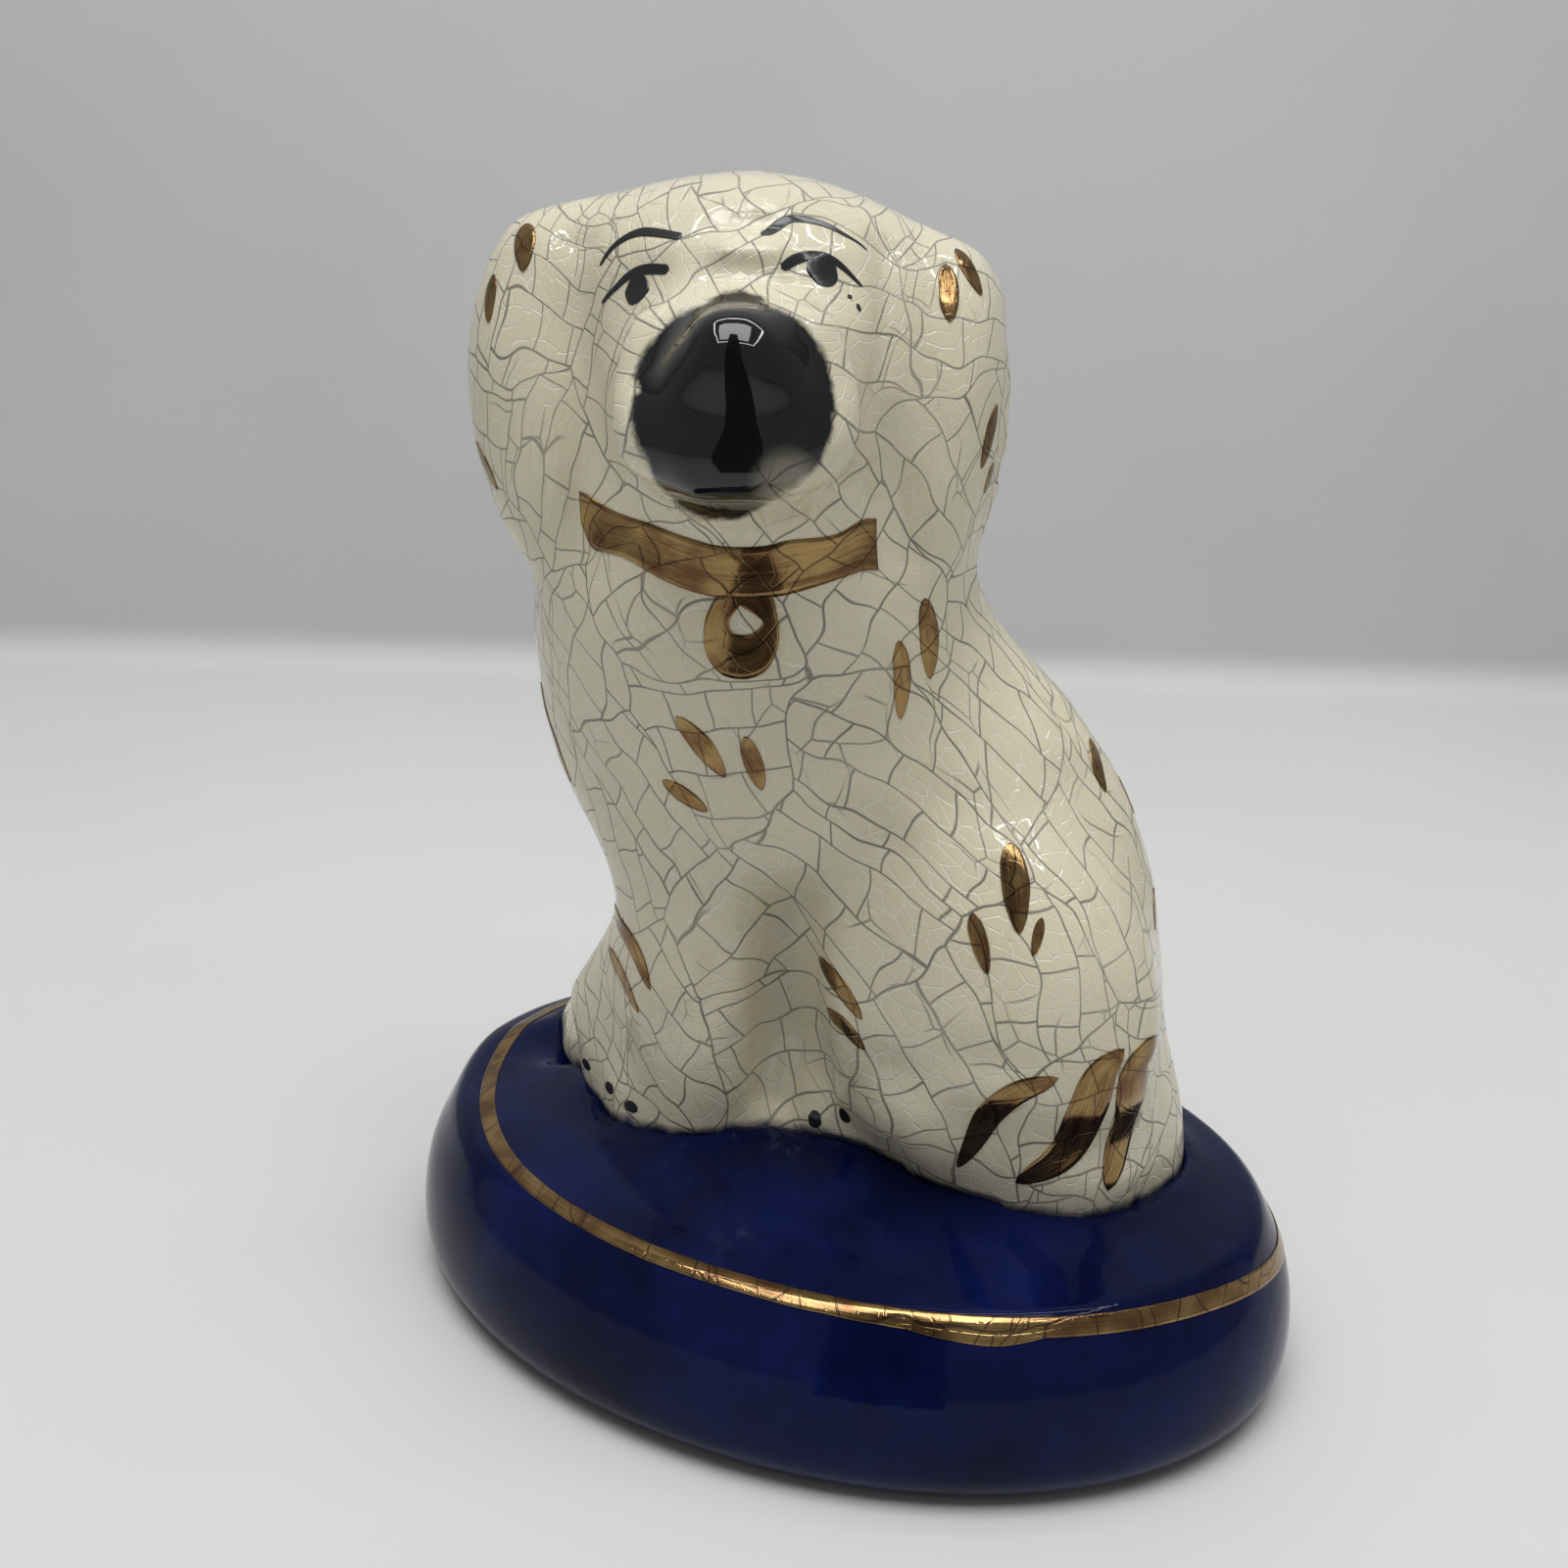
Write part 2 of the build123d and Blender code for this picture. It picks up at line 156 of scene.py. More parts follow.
# Modelled lines of the clay: points of the picture, reach and depth in millimetres.
HOLLOWS = [
    ([(588, 250), (584, 320), (590, 400), (596, 470), (588, 560)], 2.2, 0.9),
    ([(906, 258), (908, 330), (900, 400), (905, 470), (930, 560)], 2.2, 0.9),
    ([(640, 300), (665, 292)], 3.4, 0.5),
    ([(822, 284), (850, 282)], 3.4, 0.5),
    ([(806, 930), (797, 1000), (791, 1060), (788, 1120)], 3.2, 2.2),
    ([(905, 868), (868, 900), (842, 945)], 3.5, 0.8),
    ([(698, 346), (702, 356)], 2.4, 0.5),
    ([(552, 1052), (558, 1085)], 5.0, 2.6),
    ([(790, 348), (786, 358)], 2.4, 0.5),
]
SWELLS = [
    ([(742, 330), (756, 330)], 2.6, 0.8),
    ([(696, 386), (704, 386)], 4.2, 0.5),
    ([(794, 386), (802, 386)], 4.2, 0.5),
    ([(735, 440), (765, 440)], 6.0, 1.6),
    ([(720, 468), (780, 468)], 3.5, 2.2),
    ([(985, 900), (1010, 1000)], 11.0, 1.2),
    ([(858, 975), (866, 1060)], 4.0, 0.8),
    ([(624, 980), (612, 1008), (602, 1032), (592, 1056)], 3.6, 3.2),
    ([(616, 1042), (613, 1065), (613, 1092)], 4.0, 3.0),
    ([(664, 345), (652, 395), (658, 450)], 3.2, 2.2),
    ([(832, 345), (850, 395), (848, 450)], 3.2, 2.0),
    ([(878, 1120), (930, 1150)], 5.0, 1.6),
    ([(832, 1116), (831, 1135)], 2.0, 0.5),
    ([(866, 1110), (862, 1130)], 2.0, 0.5),
]

# The cushion raised at its far left and beside the paw, in the same way.
CUSHION_SWELLS = [
    ([(530, 1054), (560, 1036), (590, 1020), (625, 1003)], 8.0, 1.3),
    ([(548, 1064), (562, 1066), (577, 1077)], 2.6, 2.2),
]
CUSHION_RUBBED = [([(540, 1064), (558, 1064), (577, 1077)], 4.0)]

# Creases rubbed smooth: points of each stroke in pixels, and its reach in millimetres.
RUBBED = [
    ([(612, 980), (604, 1020), (600, 1060), (606, 1110)], 4.5),
    ([(640, 1060), (645, 1110)], 3.0),
    ([(576, 1052), (574, 1080)], 7.0),
]
RUBS = 150

# Middle of the dog at some levels, the middle of its head and the neck, in millimetres.
BODY_MIDDLE = [(22, 0, 3), (57, -2, 0), (87, -8, -8), (127, -10, -6)]
HEAD_LEVEL = 107.0
NECK_LEVEL = 80.0

# Distance between the fields on the flat map of the glaze.
FIELD_STEP = 0.3

# Lamps: soft panels overhead and beside the camera, and a frame of light strips above the
# figure. Each has its place to the right, towards the camera and up, its size, and its watts.
PANELS = {
    "overhead_panel": ((0.0, 0.25, 1.2), (0.8, 0.6), 8.8),
    "left_panel": ((-0.45, 0.4, 0.5), (0.4, 0.4), 0.28),
    "right_panel": ((0.45, 0.4, 0.5), (0.4, 0.4), 0.28),
}
STRIPS = {
    "front_strip": ((0.02, 0.28, 0.5), (0.44, 0.01), 0.28),
    "back_strip": ((0.02, -0.08, 0.5), (0.44, 0.01), 0.28),
    "left_strip": ((-0.2, 0.1, 0.5), (0.01, 0.36), 0.24),
    "right_strip": ((0.24, 0.1, 0.5), (0.01, 0.36), 0.24),
}

# Distance of the backdrop behind the figure.
BACKDROP_PLACE = 0.322

# Colour of the air round the stage, as light and as it is seen or mirrored.
AIR_DIM = (0.076, 0.078, 0.08, 1.0)
AIR_PALE = (0.32, 0.325, 0.33, 1.0)

# Dark card behind the camera, seen only in reflections: right, towards, width and height.
DARK_CARD = (-0.012, 0.125, 0.05, 0.45)


def camera_axes():
    """Right, up and forward of the camera."""
    bearing = math.radians(CAMERA_BEARING)
    pitch = math.radians(CAMERA_PITCH)
    roll = math.radians(CAMERA_ROLL)
    right = Vector((math.cos(bearing), math.sin(bearing), 0))
    forward = Vector(
        (
            -math.sin(bearing) * math.cos(pitch),
            math.cos(bearing) * math.cos(pitch),
            -math.sin(pitch),
        )
    )
    up = right.cross(forward)
    return (
        right * math.cos(roll) + up * math.sin(roll),
        up * math.cos(roll) - right * math.sin(roll),
        forward,
    )


def sight(x, y):
    """Direction of sight through a point of the picture."""
    right, up, forward = camera_axes()
    half = IMAGE_SIZE / 2
    ray = forward + right * ((x - half) / FOCAL_PIXELS) - up * ((y - half) / FOCAL_PIXELS)
    return ray.normalized()


def touch(tree, x, y):
    """Point where a line of sight meets a surface, or passes nearest to it."""
    ray = sight(x, y)
    place = tree.ray_cast(CAMERA_PLACE, ray)[0]
    if place is not None:
        return place
    nearest = (1.0, None)
    for step in range(120):
        found, _, _, gap = tree.find_nearest(CAMERA_PLACE + ray * (0.12 + 0.001 * step))
        if gap < nearest[0]:
            nearest = (gap, found)
    return nearest[1]


# Meshes


def new_piece(name, mesh, material, *nodes):
    """Object of a finished mesh that rides on the figure and stands for some CAD nodes."""
    mesh.name = name
    piece = bpy.data.objects.new(name, mesh)
    bpy.context.scene.collection.objects.link(piece)
    mesh.materials.clear()
    mesh.materials.append(material)
    mesh.polygons.foreach_set("material_index", [0] * len(mesh.polygons))
    mesh.polygons.foreach_set("use_smooth", [True] * len(mesh.polygons))
    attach(piece, "root")
    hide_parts(*nodes)
    return piece


def modified(mesh, *modifiers):
    """Mesh after a row of modifiers, each a type and its settings."""
    carrier = bpy.data.objects.new("carrier", mesh)
    bpy.context.scene.collection.objects.link(carrier)
    for kind, settings in modifiers:
        modifier = carrier.modifiers.new(kind.title(), kind)
        for key, value in settings.items():
            setattr(modifier, key, value)
    depsgraph = bpy.context.evaluated_depsgraph_get()
    result = bpy.data.meshes.new_from_object(carrier.evaluated_get(depsgraph))
    bpy.data.objects.remove(carrier)
    return result


def islands(bm):
    """Groups of faces that hang together."""
    left = set(bm.faces)
    groups = []
    while left:
        stack = [left.pop()]
        group = [stack[0]]
        while stack:
            for edge in stack.pop().edges:
                for other in edge.link_faces:
                    if other in left:
                        left.remove(other)
                        group.append(other)
                        stack.append(other)
        groups.append(group)
    return groups


def box_size(faces):
    """Volume of the box round some faces."""
    points = np.array([v.co for f in faces for v in f.verts])
    return float(np.prod(np.ptp(points, axis=0)))


def points_of(mesh):
    """Vertex places of a mesh as rows."""
    points = np.empty(len(mesh.vertices) * 3, np.float32)
    mesh.vertices.foreach_get("co", points)
    return points.reshape(-1, 3).astype(float)


def normals_of(mesh):
    """Vertex normals of a mesh as rows."""
    normals = np.empty(len(mesh.vertices) * 3, np.float32)
    mesh.vertex_normals.foreach_get("vector", normals)
    return normals.reshape(-1, 3).astype(float)


def move_points(mesh, points):
    """Give a mesh new vertex places."""
    mesh.vertices.foreach_set("co", points.astype(np.float32).ravel())
    mesh.update()


def tree_of(mesh):
    """Search tree of a mesh."""
    bm = bmesh.new()
    bm.from_mesh(mesh)
    tree = BVHTree.FromBMesh(bm)
    bm.free()
    return tree


def outer_skin():
    """Outer skin of the two body halves, without the seam walls and the hollow."""
    bm = bmesh.new()
    for node in ("front_body_half", "back_body_half"):
        bm.from_mesh(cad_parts[node].data)
    bmesh.ops.remove_doubles(bm, verts=bm.verts, dist=0.002 * MM)
    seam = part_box("front_body_half")[1].y
    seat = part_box("front_body_half")[0].z
    walls = [
        face
        for face in bm.faces
        if all(abs(v.co.y - seam) < 0.01 * MM for v in face.verts)
        or all(abs(v.co.z - seat) < 0.01 * MM for v in face.verts)
    ]
    bmesh.ops.delete(bm, geom=walls, context="FACES")
    groups = sorted(islands(bm), key=box_size, reverse=True)
    inner = [face for group in groups[1:] for face in group]
    bmesh.ops.delete(bm, geom=inner, context="FACES")
    rim = [edge for edge in bm.edges if edge.is_boundary]
    bmesh.ops.holes_fill(bm, edges=rim, sides=0)
    mesh = bpy.data.meshes.new("skin")
    bm.to_mesh(mesh)
    bm.free()
    return mesh


def path_distance(points, path):
    """Distance of each point from a path of straight steps."""
    best = np.full(len(points), 1.0)
    for start, end in zip(path[:-1], path[1:]):
        along = np.array(end) - np.array(start)
        away = points - np.array(start)
        share = np.clip((away @ along) / max(along @ along, 1e-12), 0, 1)
        best = np.minimum(best, np.linalg.norm(away - share[:, None] * along, axis=1))
    return best


def modelled(mesh, strokes, direction):
    """Press or raise the clay along strokes."""
    tree = tree_of(mesh)
    points = points_of(mesh)
    normals = normals_of(mesh)
    shift = np.zeros(len(points))
    for path, reach, depth in strokes:
        gap = path_distance(points, [touch(tree, *p) for p in path])
        shift += depth * MM * np.exp(-((gap / (reach * MM)) ** 2))
    move_points(mesh, points + normals * (direction * shift)[:, None])


def rubbed(mesh, strokes, times):
    """Rub the clay smooth along strokes."""
    tree = tree_of(mesh)
    points = points_of(mesh)
    share = np.zeros(len(points))
    for path, reach in strokes:
        gap = path_distance(points, [touch(tree, *p) for p in path])
        share = np.maximum(share, np.exp(-((gap / (reach * MM)) ** 2)))
    ends = np.empty(2 * len(mesh.edges), np.int32)
    mesh.edges.foreach_get("vertices", ends)
    one, other = ends.reshape(-1, 2).T
    count = np.bincount(ends, minlength=len(points))[:, None]
    for _ in range(times):
        total = np.zeros_like(points)
        np.add.at(total, one, points[other])
        np.add.at(total, other, points[one])
        points += 0.5 * share[:, None] * (total / count - points)
    move_points(mesh, points)


def glaze_map(mesh):
    """Lay the glaze on a flat map of its own, in metres: the display side is unrolled about the
    middle of the dog, and the sides, back and top of the rest are laid flat."""
    points = points_of(mesh)
    bearing = math.radians(CAMERA_BEARING - 90)
    toward = np.array((math.cos(bearing), math.sin(bearing), 0))
    aside = np.array((-math.sin(bearing), math.cos(bearing), 0))
    levels, middle_x, middle_y = np.array(BODY_MIDDLE).T * MM
    away_x = points[:, 0] - np.interp(points[:, 2], levels, middle_x)
    away_y = points[:, 1] - np.interp(points[:, 2], levels, middle_y)
    reach = np.hypot(away_x, away_y)
    turn = np.arctan2(away_y, away_x) - bearing
    turn -= 2 * math.pi * np.round(turn / (2 * math.pi))
    above = points[:, 2] - HEAD_LEVEL * MM
    rise = np.where(above > 0, np.arctan2(above, reach) * np.hypot(above, reach), above)
    rise += (HEAD_LEVEL - NECK_LEVEL) * MM
    share = np.clip((points[:, 2] / MM - NECK_LEVEL) / 20, 0, 1)
    finer = 1 + 0.15 * share * share * (3 - 2 * share)
    near, side, level = points @ toward, points @ aside, points[:, 2] - NECK_LEVEL * MM
    maps = np.array([[turn * reach, rise], [near, level], [side, level], [side, near]]) * finer
    maps += np.arange(len(maps))[:, None, None] * FIELD_STEP
    normals = normals_of(mesh)
    facing = normals @ toward
    field = 1 + np.argmax([np.abs(normals @ aside), -facing, normals[:, 2]], axis=0)
    field[facing > 0] = 0
    corner = np.empty(len(mesh.loops), np.int32)
    mesh.loops.foreach_get("vertex_index", corner)
    start = np.empty(len(mesh.polygons), np.int32)
    mesh.polygons.foreach_get("loop_start", start)
    count = np.empty(len(mesh.polygons), np.int32)
    mesh.polygons.foreach_get("loop_total", count)
    chosen = np.repeat(field[corner[start]], count)
    flat = maps[chosen, :, corner]
    layer = mesh.uv_layers.new(name="glaze")
    layer.uv.foreach_set("vector", flat.astype(np.float32).ravel())


# Shader nodes


class Board:
    """Short ways to add and join shader nodes."""

    def __init__(self, tree):
        self.tree = tree

    def node(self, kind, inputs=None, **settings):
        made = self.tree.nodes.new(kind)
        for key, value in settings.items():
            setattr(made, key, value)
        for key, value in (inputs or {}).items():
            self.feed(made.inputs[key], value)
        return made

    def feed(self, socket, value):
        if isinstance(value, bpy.types.NodeSocket):
            self.tree.links.new(value, socket)
        elif value is not None:
            socket.default_value = value

    def math(self, operation, *values, clamp=False):
        made = self.node("ShaderNodeMath", operation=operation, use_clamp=clamp)
        for socket, value in zip(made.inputs, values):
            self.feed(socket, value)
        return made.outputs[0]

    def vector(self, operation, *values):
        made = self.node("ShaderNodeVectorMath", operation=operation)
        for socket, value in zip(made.inputs, values):
            self.feed(socket, value)
        flat = operation in ("DOT_PRODUCT", "LENGTH", "DISTANCE")
        return made.outputs["Value" if flat else "Vector"]

    def scaled(self, vector, factor):
        made = self.node("ShaderNodeVectorMath", operation="SCALE")
        self.feed(made.inputs[0], vector)
        self.feed(made.inputs["Scale"], factor)
        return made.outputs["Vector"]

    def noise(self, vector, scale, detail=2.0, roughness=0.5, output="Fac"):
        inputs = {"Vector": vector, "Scale": scale, "Detail": detail, "Roughness": roughness}
        return self.node("ShaderNodeTexNoise", inputs).outputs[output]

    def ramp(self, value, low, high, start=0.0, end=1.0):
        inputs = {"Value": value, "From Min": low, "From Max": high, "To Min": start, "To Max": end}
        kind = {"interpolation_type": "SMOOTHSTEP"}
        return self.node("ShaderNodeMapRange", inputs, **kind).outputs[0]

    def colour(self, factor, first, second, blend="MIX"):
        made = self.node("ShaderNodeMix", data_type="RGBA", blend_type=blend)
        self.feed(made.inputs[0], factor)
        self.feed(made.inputs[6], first)
        self.feed(made.inputs[7], second)
        return made.outputs[2]

    def bump(self, height, distance, strength=1.0, normal=None):
        inputs = {"Height": height, "Distance": distance, "Strength": strength}
        made = self.node("ShaderNodeBump", inputs)
        self.feed(made.inputs["Normal"], normal)
        return made.outputs[0]


def new_group(name, inputs, outputs):
    """Empty node group with its sockets."""
    tree = bpy.data.node_groups.new(name, "ShaderNodeTree")
    for label, kind in inputs:
        tree.interface.new_socket(label, in_out="INPUT", socket_type=kind)
    for label, kind in outputs:
        tree.interface.new_socket(label, in_out="OUTPUT", socket_type=kind)
    board = Board(tree)
    return board, board.node("NodeGroupInput").outputs, board.node("NodeGroupOutput").inputs


VECTOR = "NodeSocketVector"
FLOAT = "NodeSocketFloat"


def crackle_group():
    """Crazing on the flat map of the glaze: old cracks round fields of cracks in rows, with
    younger ones across the rows, and fine unstained ones."""
    board, given, result = new_group(
        "crackle",
        [("Vector", VECTOR), ("Cell", FLOAT), ("Width", FLOAT)],
        [("Stained", FLOAT), ("Fine", FLOAT)],
    )
    place = given["Vector"]
    cell = given["Cell"]
    for detail, sway in ((35.0, 0.012), (110.0, 0.005)):
        push = board.noise(given["Vector"], detail, 1.0, output="Color")
        push = board.vector("SUBTRACT", push, (0.5, 0.5, 0.5))
        place = board.vector("ADD", place, board.scaled(push, sway))
    gap, key = voronoi_cracks(board, place, board.math("DIVIDE", 0.3, cell), 0.9)
    turn = {"Vector": place, "Angle": board.math("MULTIPLY", key, 2 * math.pi)}
    field = board.node("ShaderNodeVectorRotate", turn, rotation_type="Z_AXIS").outputs[0]
    across = board.node("ShaderNodeSeparateXYZ", {"Vector": field}).outputs
    gap_rows, row = row_cracks(board, across["Y"], board.math("MULTIPLY", cell, 0.95), 0.0)
    start = board.node("ShaderNodeTexWhiteNoise", {"W": row}, noise_dimensions="1D").outputs["Value"]
    gap_ends, _ = row_cracks(board, across["X"], board.math("MULTIPLY", cell, 1.15), start)
    gap = board.math("MINIMUM", gap, board.math("MINIMUM", gap_rows, gap_ends))
    width = given["Width"]
    stained = board.ramp(gap, board.math("MULTIPLY", width, 0.3), width, 1.0, 0.0)
    gap, _ = voronoi_cracks(board, field, board.math("DIVIDE", 0.9, cell), 0.8)
    younger = board.ramp(gap, board.math("MULTIPLY", width, 0.2), width, 0.85, 0.0)
    patches = board.ramp(board.noise(given["Vector"], 70.0, 2.0), 0.5, 0.6)
    younger = board.math("MULTIPLY", younger, patches)
    gap, _ = voronoi_cracks(board, field, board.math("DIVIDE", 2.8, cell), 0.9)
    fine = board.ramp(gap, board.math("MULTIPLY", width, 0.1), board.math("MULTIPLY", width, 0.7), 1.0, 0.0)
    board.feed(result["Stained"], board.math("MAXIMUM", stained, younger))
    board.feed(result["Fine"], fine)
    return board.tree


def voronoi_cracks(board, place, scale, random):
    """Distance from the cracks between irregular cells, and a key of the cell."""
    inputs = {"Vector": place, "Scale": scale, "Randomness": random}
    flat = {"voronoi_dimensions": "2D"}
    edge = board.node("ShaderNodeTexVoronoi", inputs, feature="DISTANCE_TO_EDGE", **flat)
    cell = board.node("ShaderNodeTexVoronoi", inputs, feature="F1", **flat)
    key = board.node("ShaderNodeSeparateColor", {"Color": cell.outputs["Color"]}).outputs[0]
    return board.math("DIVIDE", edge.outputs["Distance"], scale), key


def row_cracks(board, place, step, start):
    """Distance from cracks at even steps, and the number of the row between them."""
    rows = board.math("ADD", board.math("DIVIDE", place, step), start)
    middle = board.math("ABSOLUTE", board.math("SUBTRACT", board.math("FRACT", rows), 0.5))
    gap = board.math("MULTIPLY", board.math("SUBTRACT", 0.5, middle), step)
    return gap, board.math("FLOOR", rows)


def brush_group():
    """Distance outside a brush line from start to start + run, with a width at each end."""
    board, given, result = new_group(
        "brush_line",
        [("Vector", VECTOR), ("Start", VECTOR), ("Run", VECTOR), ("First", FLOAT), ("Last", FLOAT)],
        [("Distance", FLOAT)],
    )
    away = board.vector("SUBTRACT", given["Vector"], given["Start"])
    square = board.vector("DOT_PRODUCT", given["Run"], given["Run"])
    share = board.vector("DOT_PRODUCT", away, given["Run"])
    share = board.math("DIVIDE", share, square, clamp=True)
    side = board.vector("SUBTRACT", away, board.scaled(given["Run"], share))
    gap = board.vector("LENGTH", side)
    reach = board.math("SUBTRACT", given["Last"], given["First"])
    reach = board.math("MULTIPLY_ADD", reach, share, given["First"])
    board.feed(result["Distance"], board.math("SUBTRACT", gap, reach))
    return board.tree


def new_material(name):
    """Material with its shader and object coordinates."""
    material = bpy.data.materials.new(name)
    material.use_nodes = True
    board = Board(material.node_tree)
    shader = material.node_tree.nodes["Principled BSDF"]
    place = board.node("ShaderNodeTexCoord").outputs["Object"]
    return material, board, shader, place


def crackle_nodes(board, settings):
    """Stained and fine crazing on the flat map of the glaze."""
    made = board.node("ShaderNodeGroup", node_tree=bpy.data.node_groups["crackle"])
    board.feed(made.inputs["Vector"], board.node("ShaderNodeUVMap", uv_map="glaze").outputs[0])
    made.inputs["Cell"].default_value = settings.craze_cell
    made.inputs["Width"].default_value = settings.craze_width
    return made.outputs["Stained"], made.outputs["Fine"]


def brush_distance(board, place, spots):
    """Distance outside a brush line through spots, each a place and its half width."""
    nearest = None
    for (start, first), (end, last) in zip(spots[:-1], spots[1:]):
        made = board.node("ShaderNodeGroup", node_tree=bpy.data.node_groups["brush_line"])
        board.feed(made.inputs["Vector"], place)
        made.inputs["Start"].default_value = start
        made.inputs["Run"].default_value = end - start
        made.inputs["First"].default_value = first * MM
        made.inputs["Last"].default_value = last * MM
        gap = made.outputs[0]
        nearest = gap if nearest is None else board.math("MINIMUM", nearest, gap)
    return nearest


def muzzle_mask(board, place, tree):
    """Black patch over the muzzle with a feathered brush edge and a thin place."""
    ray = sight(*MUZZLE_MIDDLE)
    right = ray.cross(Vector((0, 0, 1))).normalized()
    up = right.cross(ray)
    away = board.vector("SUBTRACT", place, tuple(touch(tree, *MUZZLE_MIDDLE)))
    across = board.vector("DOT_PRODUCT", away, tuple(right))
    rise = board.vector("DOT_PRODUCT", away, tuple(up))
    flat = board.node("ShaderNodeCombineXYZ", {"X": across, "Y": rise}).outputs[0]
    spots = [(Vector((x, y, 0)) * MM, half) for x, y, half in MUZZLE_FORM]
    edge = brush_distance(board, flat, spots)
    ragged = board.math("SUBTRACT", board.noise(place, 380.0, 3.0, 0.65), 0.5)
    edge = board.math("MULTIPLY_ADD", ragged, 1.5 * MM, edge)
    patch = board.ramp(edge, -0.5 * MM, 0.3 * MM, 1.0, 0.0)
    x, y, reach = MUZZLE_THIN
    gap = board.vector("DISTANCE", flat, (x * MM, y * MM, 0))
    thin = board.ramp(gap, 0.4 * reach * MM, 1.2 * reach * MM, 0.72, 1.0)
    depth = board.vector("DOT_PRODUCT", away, tuple(ray))
    near = board.ramp(depth, MUZZLE_DEPTH * MM, (MUZZLE_DEPTH + 2) * MM, 1.0, 0.0)
    return board.math("MULTIPLY", board.math("MULTIPLY", patch, thin), near)


def white_glaze(settings, tree):
    """Cream crackle glaze with black enamel and a run of blue at the foot."""
    material, board, shader, place = new_material("white_crackle_glaze")
    stained, fine = crackle_nodes(board, settings)
    tone = board.ramp(board.noise(place, 45.0, 3.0), 0.35, 0.7)
    cream = board.colour(tone, settings.cream[:], settings.cream_shade[:])
    # Fine cracks lightened: partly their own pale look, partly a painted highlight along them.
    cream = board.colour(board.math("MULTIPLY", fine, 0.55), cream, settings.craze_pale_and_highlight[:])
    fade = board.ramp(board.noise(place, 130.0, 2.0), 0.3, 0.65, 0.7, 1.0)
    cream = board.colour(board.math("MULTIPLY", stained, fade), cream, settings.craze_stain[:])
    enamel = muzzle_mask(board, place, tree)
    colour = board.colour(enamel, cream, settings.enamel[:])
    depth = board.node("ShaderNodeAttribute", attribute_name="above_cushion").outputs["Fac"]
    wave = board.math("SUBTRACT", board.noise(place, 300.0, 2.0), 0.5)
    depth = board.math("MULTIPLY_ADD", wave, 1.2 * MM, depth)
    run = board.ramp(depth, 0.0, 1.3 * MM, 1.0, 0.0)
    board.feed(shader.inputs["Base Color"], board.colour(run, colour, settings.blue_edge[:]))
    bare = board.math("SUBTRACT", 1.0, enamel)
    stained = board.math("MULTIPLY", stained, bare)
    cracks = board.math("MULTIPLY_ADD", board.math("MULTIPLY", fine, bare), 1.6, stained)
    peel = board.noise(place, 260.0, 2.0)
    height = board.math("SUBTRACT", board.math("MULTIPLY", peel, 1.2), cracks)
    board.feed(shader.inputs["Normal"], board.bump(height, 0.03 * MM, 0.8))
    board.feed(shader.inputs["Roughness"], board.ramp(stained, 0.0, 1.0, 0.05, 0.25))
    return material


def blue_glaze(settings):
    """Deep cobalt glaze, a little uneven, with an unglazed foot."""
    material, board, shader, place = new_material("cobalt_glaze")
    tone = board.ramp(board.noise(place, 60.0, 4.0, 0.6), 0.35, 0.75)
    blue = board.colour(tone, settings.blue[:], settings.blue_light[:])
    height = board.node("ShaderNodeSeparateXYZ", {"Vector": place}).outputs["Z"]
    bare = board.math("MULTIPLY_ADD", board.noise(place, 400.0, 2.0), 0.6 * MM, height)
    foot = board.ramp(bare, 0.4 * MM, 0.7 * MM, 1.0, 0.0)
    board.feed(shader.inputs["Base Color"], board.colour(foot, blue, settings.biscuit[:]))
    swell = board.noise(place, 130.0, 1.0)
    peel = board.noise(place, 900.0, 2.0)
    ripple = board.math("MULTIPLY_ADD", swell, 4.0, peel)
    board.feed(shader.inputs["Normal"], board.bump(ripple, 0.02 * MM, 0.6))
    board.feed(shader.inputs["Roughness"], board.ramp(foot, 0.0, 1.0, 0.07, 0.8))
    shader.inputs["Specular IOR Level"].default_value = 0.12
    return material


def gold_lustre(settings):
    """Thin mirror-bright gold lustre, brown where it is thin, cracked with the glaze below."""
    material, board, shader, place = new_material("gold_lustre")
    stained, fine = crackle_nodes(board, settings)
    brush = board.node("ShaderNodeUVMap", uv_map="brush").outputs[0]
    streak = board.noise(board.vector("MULTIPLY", brush, (1.5, 9.0, 1.0)), 2.0, 4.0, 0.6)
    tone = board.noise(place, 240.0, 3.0)
    mixed = board.math("MULTIPLY_ADD", streak, 0.5, board.math("MULTIPLY", tone, 0.5))
    thin = board.ramp(mixed, 0.38, 0.62, 1.0, 0.0)
    gold = board.colour(thin, settings.gold[:], settings.gold_thin[:])
    gold = board.colour(board.math("MULTIPLY", stained, 0.7), gold, settings.gold_dark[:])
    board.feed(shader.inputs["Base Color"], gold)
    ridge = board.math("MULTIPLY_ADD", streak, 0.4, board.math("MULTIPLY", fine, -0.4))
    height = board.math("SUBTRACT", ridge, stained)
    board.feed(shader.inputs["Normal"], board.bump(height, 0.015 * MM, 0.6))
    board.feed(shader.inputs["Roughness"], board.ramp(streak, 0.3, 0.7, 0.06, 0.17))
    shader.inputs["Metallic"].default_value = 0.9
    return material


def black_enamel(settings):
    """Glossy black brush colour, a little brown where it is thin."""
    material, board, shader, place = new_material("black_enamel")
    stained, _ = crackle_nodes(board, settings)
    thin = board.ramp(board.noise(place, 700.0, 3.0, 0.6), 0.5, 0.75)
    black = board.colour(thin, settings.enamel[:], settings.enamel_thin[:])
    board.feed(shader.inputs["Base Color"], black)
    board.feed(shader.inputs["Normal"], board.bump(stained, -0.02 * MM, 0.6))
    board.feed(shader.inputs["Roughness"], board.ramp(thin, 0.0, 1.0, 0.12, 0.3))
    return material


